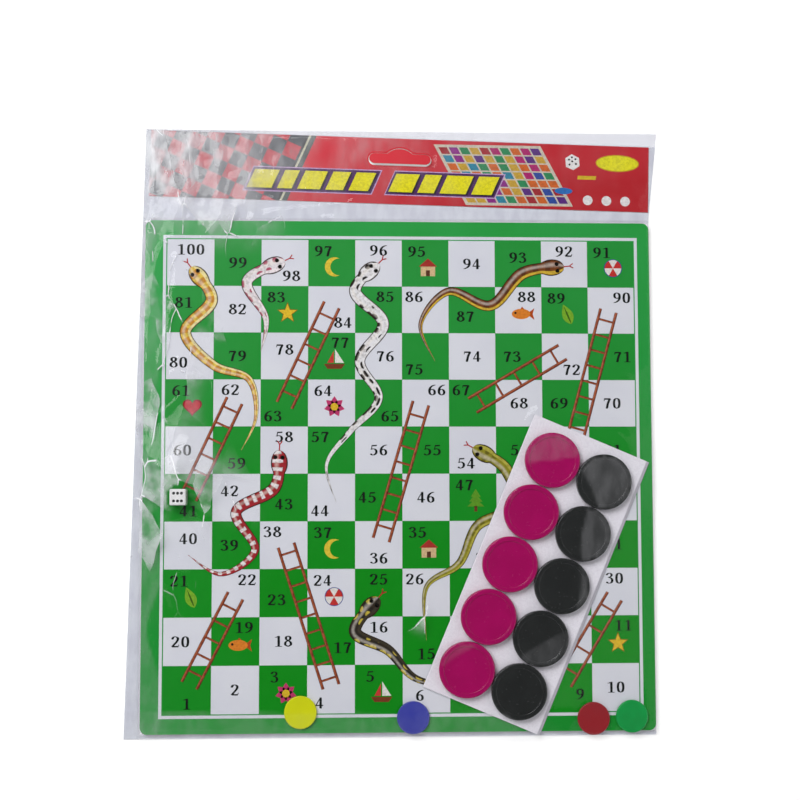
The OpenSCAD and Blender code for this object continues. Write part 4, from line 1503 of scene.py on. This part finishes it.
def die_face(out, along, count, edge_round, places):
    """Points of one face of the die, pressed to the rounded form and dished, and how far each is painted."""
    half = DIE_W / 2
    core = half - edge_round
    n, u = np.array(out, float), np.array(along, float)
    v = np.cross(n, u)
    points, paint = [], []
    for a in places:
        for b in places:
            p = n * half + u * a + v * b
            inner = np.clip(p, -core, core)
            d = p - inner
            length = np.linalg.norm(d)
            p = inner + d / length * edge_round if length > 0 else p
            gap = min(math.hypot(a - col * PIP_STEP, b - row * PIP_STEP) / PIP_R for row, col in PIPS[count])
            depth = max(0.0, 1 - gap * gap)
            points.append(p - n * depth * PIP_DEPTH)
            paint.append(min(1.0, depth * PAINT_EDGE))
    return points, paint


def die_mesh(edge_round, steps=40):
    """Rounded cube with dished pips, made of a grid for each face."""
    half = DIE_W / 2
    places = np.tan(np.linspace(-math.pi / 4, math.pi / 4, steps + 1)) * half
    points, faces, paint = [], [], []
    for out, along, count in DIE_FACES:
        faces += grid_faces(steps + 1, steps + 1, len(points))
        face_points, face_paint = die_face(out, along, count, edge_round, places)
        points += face_points
        paint += face_paint
    centre = np.array([DIE_PLACE[0], DIE_PLACE[1], LOOSE_LOW + half])
    mesh = mesh_of("die_rounded", np.array(points) + centre, faces, True)
    store(mesh, "pip", paint)
    return mesh


class GAMESET_OT_die(bpy.types.Operator):
    """Builds the die with rounded edges and painted pips"""
    bl_idname = "gameset.die"
    bl_label = "Die"

    def execute(self, context):
        mesh = die_mesh(context.scene.game_plastics.die_round / MM)
        shape = bmesh.new()
        shape.from_mesh(mesh)
        bmesh.ops.remove_doubles(shape, verts=shape.verts, dist=WELD_GAP)
        shape.to_mesh(mesh)
        shape.free()
        piece = link("die_rounded", mesh, die_plastic(), "die")
        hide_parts("die")
        return {"FINISHED"}


# Bag

# Film at the bag's seams: its height, and the width of the hem beside it
SEAM_Z = 0.16
HEM_W = 0.35
# Room between the film and what lies under it, and room round the edges of the pieces, the board and the slot
FILM_GAP = 0.28
PIECE_ROOM = 1.0
BOARD_ROOM = 2.8
SLOT_ROOM = 0.6
# Height of the header card with its print
HEADER_COVER = 0.55
# Film points this near the slot's rim are moved onto it, in a few passes
RIM_REACH = 3.5
RIM_PASSES = 4
# Order of a face's corners that turns it over
FACE_UP = [0, 3, 2, 1]
# Fall of the film beside a piece, in millimetres for each millimetre
COUNTER_SLOPE = 0.35
DRAUGHT_SLOPE = 0.42
DIE_SLOPE = 0.48
PLAY_STEPS = 7
# Distance from the seams over which the creases fade
SEAM_FADE = 5.0
# Creases: number of waves, size in millimetres, and lean along X and Y
CREASES = {
    "soft": (9, 60.0, (1.0, 1.0)),
    "crumple": (8, 26.0, (1.0, 0.6)),
    "fine": (8, 11.0, (1.0, 0.55)),
    "pleat": (7, 15.0, (1.0, 0.3)),
    "flow": (6, 9.0, (0.12, 1.0)),
}
# Parts of the film along X or Y: low end, high end, and the run over which they fade
LEFT_SIDE = (-140.0, -104.0, 22.0)
LEFT_CORNER = ((-140.0, -66.0, 34.0), (96.0, 160.0, 22.0))
LEFT_HEIGHT = (-70.0, 150.0, 60.0)
UNDER_HEADER = (103.0, 116.0, 6.0)
OVER_HEADER = (113.0, 160.0, 4.0)
LOOSE_SIDE = (-200.0, 45.0, 60.0)
TIGHT_FOOT = (60.0, 150.0, 16.0)
# Soft waves: height, and lift that keeps them above the film's rest
SOFT_WAVES = (0.16, 1.6)
# Ridges that stand up: part of the film, kind of crease, height in millimetres, and power that narrows them
RIDGES = (
    ("whole", "fine", 0.1, 6),
    ("corner", "crumple", 0.9, 2),
    ("corner", "fine", 0.35, 3),
    ("left", "pleat", 0.55, 3),
    ("left", "fine", 0.2, 4),
    ("under_header", "flow", 0.3, 2),
)
# Rays round the die: how many, how far out, height, and how much they swing
RAYS = (9, 12.0, 0.45, 1.2)
# Share of the creases' height that the tight right side keeps
TIGHT_SHARE = 0.12
# Painted reflection of the film's parts, as a share of diffuse white, the share of it that shows over a
# counter, and the most that it comes to
REFLECTION_SHARES = {"header": 0.5, "corner": 0.12, "rays": 0.02, "left": 0.04, "foot": 0.032}
COUNTER_SHARE = 0.3
MOST_REFLECTION = 0.6
# Sharp edges of the painted reflection: run, how far they wander over a draught, and the draught's clear rim
EDGE_RUN = 1.2
EDGE_WANDER = 1.6
CLEAR_RIM = 1.0
# No crumples this near the die's middle
CLEAR_DIE = 6.0
# Painted reflection over the header: where it starts and the run over which it changes, upwards and to the
# right
HEADER_RISE = (116.0, 26.0)
HEADER_FADE = (-133.0, 58.0)
# Bands of painted reflection along the board's left and foot: width, and how far their edges wander
LEFT_BAND = (7.5, 2.5)
FOOT_BAND = (9.5, 1.8)
FOOT_DROP = 12.0


def waves(x, y, rng, count, size, lean):
    """Smooth random field between about -1 and 1: a sum of plane waves of a size in millimetres."""
    total = np.zeros_like(x)
    for _ in range(count):
        angle = rng.uniform(0, 2 * math.pi)
        k = 2 * math.pi / (size * rng.uniform(0.7, 1.5))
        run = lean[0] * math.cos(angle) * x + lean[1] * math.sin(angle) * y
        total += np.sin(k * run + rng.uniform(0, 2 * math.pi))
    return total / math.sqrt(count)


def bump_in(x, low, high, run):
    """1 between low and high, falling off over run."""
    def step(t):
        t = np.clip(t, 0, 1)
        return t * t * (3 - 2 * t)
    return step((x - low) / run + 0.5) * step((high - x) / run + 0.5)


def sharp(distance):
    """1 on the inner side of an edge and 0 on the other, over about a millimetre."""
    return np.clip(distance / EDGE_RUN + 0.5, 0, 1)


def slot_gap(x, y):
    """Signed distance, about, to the rim of the film's hang slot; negative inside."""
    x, y = own_frame(x, y, HEADER_PLACE, HEADER_TURN)
    lx, ly = x - SLOT_PLACE[0], y - SLOT_PLACE[1]
    run = (SLOT_W - SLOT_H) / 2
    stadium = np.hypot(np.maximum(np.abs(lx) - run, 0), ly) - SLOT_H / 2
    r = (DOME_H ** 2 + DOME_W ** 2 / 4) / (2 * DOME_H)
    dome = np.maximum(np.hypot(lx, ly - (SLOT_H / 2 + DOME_H - r)) - r, -ly)
    return np.minimum(stadium, dome) - SLOT_ROOM


def film_grid(look):
    """Places of the front film's points, and their distances from the nearest seam."""
    step = look.grid_step / MM
    columns, rows = int((BAG_RIGHT[1] - BAG_LEFT[0]) / step) + 1, int(BAG_H / step) + 1
    hem = HEM_W / (BAG_RIGHT[0] - BAG_LEFT[1])
    u, v = np.meshgrid(np.r_[0.0, np.linspace(hem, 1 - hem, columns), 1.0], np.linspace(0, 1, rows))
    y = (v - 0.5) * BAG_H
    left = BAG_LEFT[0] + (BAG_LEFT[1] - BAG_LEFT[0]) * v
    flare = np.clip((y - KNEE_Y) / (BAG_H / 2 - KNEE_Y), 0, 1)
    right = BAG_RIGHT[0] + (BAG_RIGHT[1] - BAG_RIGHT[0]) * flare
    edge = np.minimum(np.minimum(u, 1 - u) * (right - left), np.minimum(v, 1 - v) * BAG_H)
    return left + (right - left) * u, y, edge


def box_distance(x, y, centre, size, turn=0.0, play=0.0):
    """Distance outside a turned rectangle that may move up by its play."""
    best = np.full_like(x, FAR)
    for shift in np.linspace(0, play, PLAY_STEPS if play else 1):
        lx, ly = own_frame(x, y - shift, centre, turn)
        best = np.minimum(best, np.maximum(np.abs(lx) - size[0] / 2, np.abs(ly) - size[1] / 2))
    return best


def disc_distance(x, y, centre, diameter, way):
    """Distance outside a disc that may move along a way."""
    best = np.full_like(x, FAR)
    for share in np.linspace(0, 1, PLAY_STEPS):
        reach = away(x - way[0] * share, y - way[1] * share, centre)
        best = np.minimum(best, reach - diameter / 2)
    return best


def film_floor(x, y):
    """Heights that the front film has to clear: all that it covers, with room for the loose pieces' play."""
    floor = np.full_like(x, SEAM_Z)

    def raise_over(distance, height, slope=None):
        held = np.where(distance <= 0, height + FILM_GAP, SEAM_Z)
        if slope:
            held = np.maximum(held, height + FILM_GAP - np.maximum(distance, 0) * slope)
        np.maximum(floor, held, out=floor)

    def roomy(size):
        return [side + PIECE_ROOM for side in size]

    raise_over(box_distance(x, y, HEADER_PLACE, roomy(HEADER_SIZE), HEADER_TURN), HEADER_COVER)
    raise_over(box_distance(x, y, (BOARD_X, BOARD_Y), [BOARD_W + BOARD_ROOM] * 2), LOOSE_LOW)
    raise_over(box_distance(x, y, PACK_PLACE, roomy(PACK_SIZE), PACK_TURN, PACK_PLAY), PACK_TOP)
    for name in COUNTERS:
        cx, cy = middle_of(f"counter_{name}")[:2]
        way = (0, COUNTER_PLAY)
        if name in ("yellow", "blue"):
            cx, way = cx - COUNTER_PLAY, (2 * COUNTER_PLAY, 0)
        raise_over(disc_distance(x, y, (cx, cy), COUNTER_D + PIECE_ROOM, way), COUNTER_TOP, COUNTER_SLOPE)
    for name in DRAUGHTS:
        reach = disc_distance(x, y, middle_of(name), DRAUGHT_D + PIECE_ROOM, (0, PACK_PLAY))
        raise_over(reach, DRAUGHT_LOW + DRAUGHT_T + DRAUGHT_LIFT, DRAUGHT_SLOPE)
    die_low = (DIE_PLACE[0], DIE_PLACE[1] - DIE_PLAY)
    die_reach = box_distance(x, y, die_low, roomy([DIE_W] * 2), 0.0, 2 * DIE_PLAY)
    raise_over(die_reach, LOOSE_LOW + DIE_W, DIE_SLOPE)
    floor[[0, -1], :] = SEAM_Z
    floor[:, [0, -1]] = SEAM_Z
    return floor


def film_heights(x, y, look):
    """Heights of the front film, which settles between the pieces like a sheet drawn tight over them."""
    floor = film_floor(x, y)
    z = floor.copy()
    for _ in range(look.relax_steps):
        mean = 0.25 * (z[:-2, 1:-1] + z[2:, 1:-1] + z[1:-1, :-2] + z[1:-1, 2:])
        z[1:-1, 1:-1] = np.maximum(floor[1:-1, 1:-1], mean)
    return z


# Where the film stands off a draught, with a painted reflection of the lamp over it: direction and distance
# of the edge from its middle, and the reflection's strength
STAND_OFF = {
    "draught_magenta_1": (1.7, 0.0, 0.03),
    "draught_magenta_2": (2.4, 11.0, 0.03),
    "draught_black_1": (0.5, -9.0, 0.035),
    "draught_black_2": (-0.1, 1.0, 0.03),
    "draught_black_3": (-0.2, 7.0, 0.03),
    "draught_black_4": (-1.0, 3.0, 0.02),
    "draught_magenta_5": (2.2, 8.0, 0.02),
}


# Crumpled places away from the film's left side: middle and radius
CRUMPLED = [(DIE_PLACE[0] + 6.0, DIE_PLACE[1] - 4.0, 24.0), (14.0, -91.0, 9.0), (-98.0, 40.0, 16.0)]


def film_haze(x, y, soft, crumple, corner, rays):
    """Painted reflection on the film, as a share of diffuse white: over the header's left, beside the board,
    and where it stands off a piece.
    """
    rise = 0.4 + 0.6 * np.clip((y - HEADER_RISE[0]) / HEADER_RISE[1], 0, 1)
    fade = np.exp(-(x - HEADER_FADE[0]) / HEADER_FADE[1])
    milky = REFLECTION_SHARES["header"] * bump_in(y, *OVER_HEADER) * rise * fade * np.clip(0.55 + 0.55 * crumple, 0, 1.1)
    milky += REFLECTION_SHARES["corner"] * corner * np.clip(0.35 + 0.65 * crumple, 0, 1)
    milky += REFLECTION_SHARES["rays"] * np.clip(rays, 0, 1)
    from_left, from_foot = x - BOARD_X + BOARD_W / 2, y - BOARD_Y + BOARD_W / 2
    milky += REFLECTION_SHARES["left"] * sharp(LEFT_BAND[0] + LEFT_BAND[1] * soft - from_left)
    drop = FOOT_DROP * bump_in(x, *TIGHT_FOOT)
    milky += REFLECTION_SHARES["foot"] * sharp(FOOT_BAND[0] + FOOT_BAND[1] * soft - drop - from_foot)
    for name in COUNTERS:
        on_disc = away(x, y, middle_of(f"counter_{name}")) < COUNTER_D / 2
        milky = np.where(on_disc, COUNTER_SHARE * milky, milky)
    for name, (turn, offset, share) in STAND_OFF.items():
        on_disc = away(x, y, middle_of(name)) < DRAUGHT_D / 2 - CLEAR_RIM
        past = own_frame(x, y, middle_of(name), turn)[0] - offset
        milky += share * on_disc * sharp(past + EDGE_WANDER * soft)
    return np.clip(milky, 0, MOST_REFLECTION)


def film_creases(x, y, look):
    """Upward creases of the film, its painted reflection and how crumpled it is, at each point of its grid.
    """
    rng = np.random.RandomState(look.seed)
    fields = {name: waves(x, y, rng, *form) for name, form in CREASES.items()}
    soft = fields["soft"]
    ridges = {name: 1 - np.abs(field) for name, field in fields.items()}
    parts = {
        "whole": 1.0,
        "left": bump_in(x, *LEFT_SIDE),
        "corner": bump_in(x, *LEFT_CORNER[0]) * bump_in(y, *LEFT_CORNER[1]),
        "under_header": bump_in(y, *UNDER_HEADER),
    }
    count, reach, ray_height, swing = RAYS
    die_way = disc_distance(x, y, (DIE_PLACE[0], DIE_PLACE[1] - DIE_PLAY), 0.0, (0, 2 * DIE_PLAY))
    angle = np.arctan2(y - DIE_PLACE[1], x - DIE_PLACE[0])
    rays = np.maximum(0, np.sin(count * angle + swing * np.sin(2 * angle)))
    rays *= np.exp(-((die_way - reach) / reach) ** 2)
    up = SOFT_WAVES[0] * (soft + SOFT_WAVES[1]) + ray_height * rays
    for part, kind, height, power in RIDGES:
        up += height * parts[part] * np.maximum(ridges[kind], 0) ** power
    up *= TIGHT_SHARE + (1 - TIGHT_SHARE) * bump_in(x, *LOOSE_SIDE)
    crumpled = parts["left"] * bump_in(y, *LEFT_HEIGHT) + parts["corner"] * (1 - bump_in(y, *OVER_HEADER))
    for *place, radius in CRUMPLED:
        crumpled += np.exp(-(away(x, y, place) / radius) ** 4)
    crumpled *= away(x, y, DIE_PLACE) > CLEAR_DIE
    milky = film_haze(x, y, soft, ridges["crumple"], parts["corner"], rays)
    return np.maximum(up, 0), milky, np.clip(crumpled, 0, 1)


def on_slot_rim(places):
    """Points near the slot's rim, moved onto it along its slope."""
    step, least = 0.01, 1e-6
    for _ in range(RIM_PASSES):
        px, py = places.T
        off = slot_gap(px, py)
        gx = (slot_gap(px + step, py) - off) / step
        gy = (slot_gap(px, py + step) - off) / step
        places = places - np.c_[gx, gy] * (off / np.maximum(gx * gx + gy * gy, least))[:, None]
    return places


def film_mesh(look):
    """Closed thin solid of the front film, with the hang slot cut out."""
    x, y, edge = film_grid(look)
    up, milky, crumpled = film_creases(x, y, look)
    z = film_heights(x, y, look) + up * np.clip(edge / SEAM_FADE, 0, 1)
    gap = slot_gap(x, y).ravel()
    quads = np.array(grid_faces(*x.shape))[:, FACE_UP]
    kept = quads[(gap >= 0)[quads].all(axis=1)]
    near = np.abs(gap) < RIM_REACH
    lip = sorted({i for pair in border_of(kept.tolist()) for i in pair if near[i]})
    flat = np.c_[x.ravel(), y.ravel()]
    flat[lip] = on_slot_rim(flat[lip])
    used, renumbered = np.unique(kept, return_inverse=True)
    low = np.c_[flat[used], z.ravel()[used] - look.thickness / MM]
    high = np.c_[flat[used], z.ravel()[used]]
    faces = thin_solid(renumbered.reshape(kept.shape).tolist(), len(used))
    mesh = mesh_of("front_film", np.vstack([low, high]), faces, True)
    store(mesh, "milky", np.tile(milky.ravel()[used], 2))
    store(mesh, "crumple", np.tile(crumpled.ravel()[used], 2))
    return mesh


class GAMESET_OT_bag(bpy.types.Operator):
    """Lays the front film over the pieces and dresses the back film"""
    bl_idname = "gameset.bag"
    bl_label = "Bag"

    def execute(self, context):
        look = context.scene.game_film
        dress("bag_back_film", clear_film("clear_polypropylene_film_back", look, back_haze))
        film = clear_film("clear_polypropylene_film_front", look, front_haze)
        piece = link("front_film", film_mesh(look), film)
        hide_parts("bag_front_film")
        return {"FINISHED"}


# Stage

# Floor's height in millimetres, a little under the bag
FLOOR_Z = -0.3
# Nearest that the camera sees, in metres
NEAREST = 0.01
# Softboxes: name, place, aim and size, in metres
SOFTBOXES = (
    ("key", (-0.56, 0.62, 1.0), (-0.05, 0.05, 0.0), (0.9, 0.75)),
    ("fill", (1.05, -0.1, 0.85), (0.0, 0.0, 0.0), (1.4, 1.4)),
    ("low", (-0.4, -0.95, 0.9), (0.0, 0.0, 0.0), (1.3, 1.3)),
)


def softbox(name, place, aim, size, power):
    """Rectangular lamp that looks from a place at an aim."""
    lamp = bpy.data.lights.new(name, "AREA")
    lamp.shape = "RECTANGLE"
    lamp.size, lamp.size_y = size
    lamp.energy = power
    made = new_object(name, lamp)
    made.location = place
    made.rotation_euler = (Vector(aim) - Vector(place)).to_track_quat("-Z", "Y").to_euler()
    return made


def seen_ray(add):
    """1 for rays from the camera, and for what is seen in a mirror or through glass."""
    path = add("LightPath").node.outputs
    total = add("Math", [path["Is Camera Ray"], path["Is Glossy Ray"]], operation="ADD")
    return add("Math", [total, path["Is Transmission Ray"]], operation="ADD", use_clamp=True)


def matt_floor(stage):
    """Matt white paper floor: soft shadows near the part, and white all over farther off."""
    made, add = new_material("matt_white_floor")
    place = object_place(add)
    colour = clouded(add, place, "#E4E4E4", "#E8E8E8", 300.0, low=0.3)
    matt = {"Roughness": 0.95, "Specular IOR Level": 0.0}
    paper = add("BsdfPrincipled", {"Base Color": colour, **matt})
    far = add("VectorMath", [place], "Value", operation="LENGTH")
    white = add("MapRange", [far, *WHITE_FLOOR, stage.floor_glow, 1.0], **SMOOTH)
    strength = add("Math", [seen_ray(add), white], operation="MULTIPLY")
    glow = add("Emission", {"Strength": strength})
    add("OutputMaterial", {"Surface": add("AddShader", [paper, glow])})
    return made


def studio_world(stage):
    """Faint even light, white near the horizon where it is seen."""
    world = bpy.data.worlds.new("studio")
    add = shader_tree(world)
    height = add("SeparateXYZ", [object_place(add)], 2)
    low = add("MapRange", [height, *DIM_WORLD, 1.0 - stage.world_strength, 0.0], **SMOOTH)
    strength = add("Math", [seen_ray(add), low, stage.world_strength], operation="MULTIPLY_ADD")
    back = add("Background", {"Color": "#FFFFFF", "Strength": strength})
    add("OutputWorld", {"Surface": back})
    return world


class GAMESET_OT_stage(bpy.types.Operator):
    """Sets the floor, the lamps, the world and the camera"""
    bl_idname = "gameset.stage"
    bl_label = "Stage"

    def execute(self, context):
        stage = context.scene.game_stage
        context.scene.view_settings.view_transform = "Standard"
        half = stage.floor_size / MM / 2
        corners = [(x * half, y * half, FLOOR_Z) for x, y in ((-1, -1), (1, -1), (1, 1), (-1, 1))]
        mesh = mesh_of("floor", corners, [[0, 1, 2, 3]])
        mesh.materials.append(matt_floor(stage))
        new_object("floor", mesh)
        for name, place, aim, size in SOFTBOXES:
            softbox(f"{name}_softbox", place, aim, size, getattr(stage, f"{name}_power"))
        context.scene.world = studio_world(stage)
        lens = bpy.data.cameras.new("photo_camera")
        lens.angle = stage.field_of_view
        lens.clip_start = NEAREST
        camera = new_object("photo_camera", lens)
        camera.location = Vector(stage.camera_place) + Vector((BOARD_X * MM, BOARD_Y * MM, 0.0))
        camera.rotation_euler = stage.camera_turn
        context.scene.camera = camera
        return {"FINISHED"}


# Settings

length_setting = partial(FloatProperty, unit="LENGTH")
share_setting = partial(FloatProperty, subtype="FACTOR")
power_setting = partial(FloatProperty, unit="POWER")


def colour_setting(name, description, text):
    """A colour that a user may change, from an sRGB hex text."""
    return FloatVectorProperty(name=name, description=description, subtype="COLOR", size=3, min=0.0, max=1.0,
                               default=linear(text)[:3])


class GAMESET_PG_print(bpy.types.PropertyGroup):
    """Inks, papers and figures of the board and the header"""
    square_green: colour_setting("Square green", "Ink of the green squares", "#088A12")
    border_green: colour_setting("Border green", "Ink of the board's border", "#16902E")
    paper_white: colour_setting("Paper white", "Unprinted paper of the white squares", "#DCDDE2")
    number_ink: colour_setting("Number ink", "Ink of the numbers", "#0C100E")
    header_red: colour_setting("Header red", "Ink of the header card", "#D63A46")
    number_height: length_setting(name="Number height", description="Height of a figure", default=0.0054)
    number_width: length_setting(name="Number width", default=0.0068,
                                 description="Height of a figure of like width, not widened")
    number_advance: length_setting(name="Number advance", default=0.00475,
                                   description="Distance from figure to figure")
    ink: length_setting(name="Ink thickness", description="Thickness of the printed numbers", default=1.2e-5)


class GAMESET_PG_plastics(bpy.types.PropertyGroup):
    """Plastics of the loose pieces"""
    magenta: colour_setting("Magenta", "Plastic of the magenta draughts", "#A40058")
    black: colour_setting("Black", "Plastic of the black draughts", "#232524")
    yellow: colour_setting("Yellow", "Plastic of the yellow counter", "#D8DC06")
    blue: colour_setting("Blue", "Plastic of the blue counter", "#363CA0")
    red: colour_setting("Red", "Plastic of the red counter", "#9A1E26")
    green: colour_setting("Green", "Plastic of the green counter", "#0AA048")
    die_round: length_setting(name="Die edge", description="Rounding of the die's edges", default=0.0007)


class GAMESET_PG_film(bpy.types.PropertyGroup):
    """Form and finish of the bag's films"""
    thickness: length_setting(name="Thickness", description="Thickness of the front film", default=0.00008)
    grid_step: length_setting(name="Grid step", description="Distance between film points", default=0.00145)
    relax_steps: IntProperty(name="Relax steps", default=700, min=0,
                             description="Steps in which the film settles over the pieces")
    seed: IntProperty(name="Crease seed", description="Seed of the creases", default=5)
    front_haze: share_setting(name="Front haze", description="Milkiness of smooth film", default=0.001)
    back_haze: share_setting(name="Back haze", default=0.85,
                             description="Milkiness of the back film off the board")
    cling_haze: share_setting(name="Cling haze", default=0.03,
                              description="Milkiness of the back film on the board")
    gloss_roughness: share_setting(name="Gloss roughness", description="Roughness of the film's sheen",
                                   default=0.06)
    refraction: FloatProperty(name="Refraction", description="Index that sets the film's sheen", default=1.26)


class GAMESET_PG_stage(bpy.types.PropertyGroup):
    """Floor, light and camera"""
    floor_size: length_setting(name="Floor size", description="Side of the floor", default=6.0)
    key_power: power_setting(name="Key power", description="Softbox at the upper left", default=16.2)
    fill_power: power_setting(name="Fill power", description="Softbox at the right", default=6.0)
    low_power: power_setting(name="Low power", description="Softbox at the lower left", default=4.2)
    floor_glow: FloatProperty(name="Floor glow", description="What the floor adds to be white in the picture",
                              default=0.36)
    world_strength: FloatProperty(name="World strength", description="Light from all round", default=0.06)
    field_of_view: FloatProperty(name="Field of view", description="Camera's angle of view",
                                 default=math.radians(33.0), subtype="ANGLE")
    camera_place: FloatVectorProperty(name="Camera place", subtype="TRANSLATION", unit="LENGTH",
                                      description="Where the camera stands, from the board's middle",
                                      default=(-0.02835, -0.01324, 0.67494))
    camera_turn: FloatVectorProperty(name="Camera turn", description="How the camera is turned",
                                     default=[math.radians(turn) for turn in (4.252, -2.433, -0.107)],
                                     subtype="EULER")


STEPS = (GAMESET_OT_board, GAMESET_OT_numbers, GAMESET_OT_ladders, GAMESET_OT_snakes, GAMESET_OT_pictures,
         GAMESET_OT_header, GAMESET_OT_draughts, GAMESET_OT_counters, GAMESET_OT_die, GAMESET_OT_bag,
         GAMESET_OT_stage)
GROUPS = {"game_print": GAMESET_PG_print, "game_plastics": GAMESET_PG_plastics, "game_film": GAMESET_PG_film,
          "game_stage": GAMESET_PG_stage}


class GAMESET_PT_panel(bpy.types.Panel):
    """Lists the steps that dress the set, and their settings"""
    bl_idname = "GAMESET_PT_panel"
    bl_label = "Game set"
    bl_space_type = "VIEW_3D"
    bl_region_type = "UI"
    bl_category = "Game set"

    def draw(self, context):
        for step in STEPS:
            self.layout.operator(step.bl_idname)
        for key, group in GROUPS.items():
            box = self.layout.box()
            for setting in group.__annotations__:
                box.prop(getattr(context.scene, key), setting)


def register():
    for cls in (*GROUPS.values(), *STEPS, GAMESET_PT_panel):
        bpy.utils.register_class(cls)
    for key, group in GROUPS.items():
        setattr(bpy.types.Scene, key, PointerProperty(type=group))


def unregister():
    for key in GROUPS:
        delattr(bpy.types.Scene, key)
    for cls in reversed((*GROUPS.values(), *STEPS, GAMESET_PT_panel)):
        bpy.utils.unregister_class(cls)


def main():
    """Dresses the frame in order."""
    register()
    bpy.ops.gameset.board()
    bpy.ops.gameset.numbers()
    bpy.ops.gameset.ladders()
    bpy.ops.gameset.snakes()
    bpy.ops.gameset.pictures()
    bpy.ops.gameset.header()
    bpy.ops.gameset.draughts()
    bpy.ops.gameset.counters()
    bpy.ops.gameset.die()
    bpy.ops.gameset.bag()
    bpy.ops.gameset.stage()


if __name__ == "__main__":
    main()
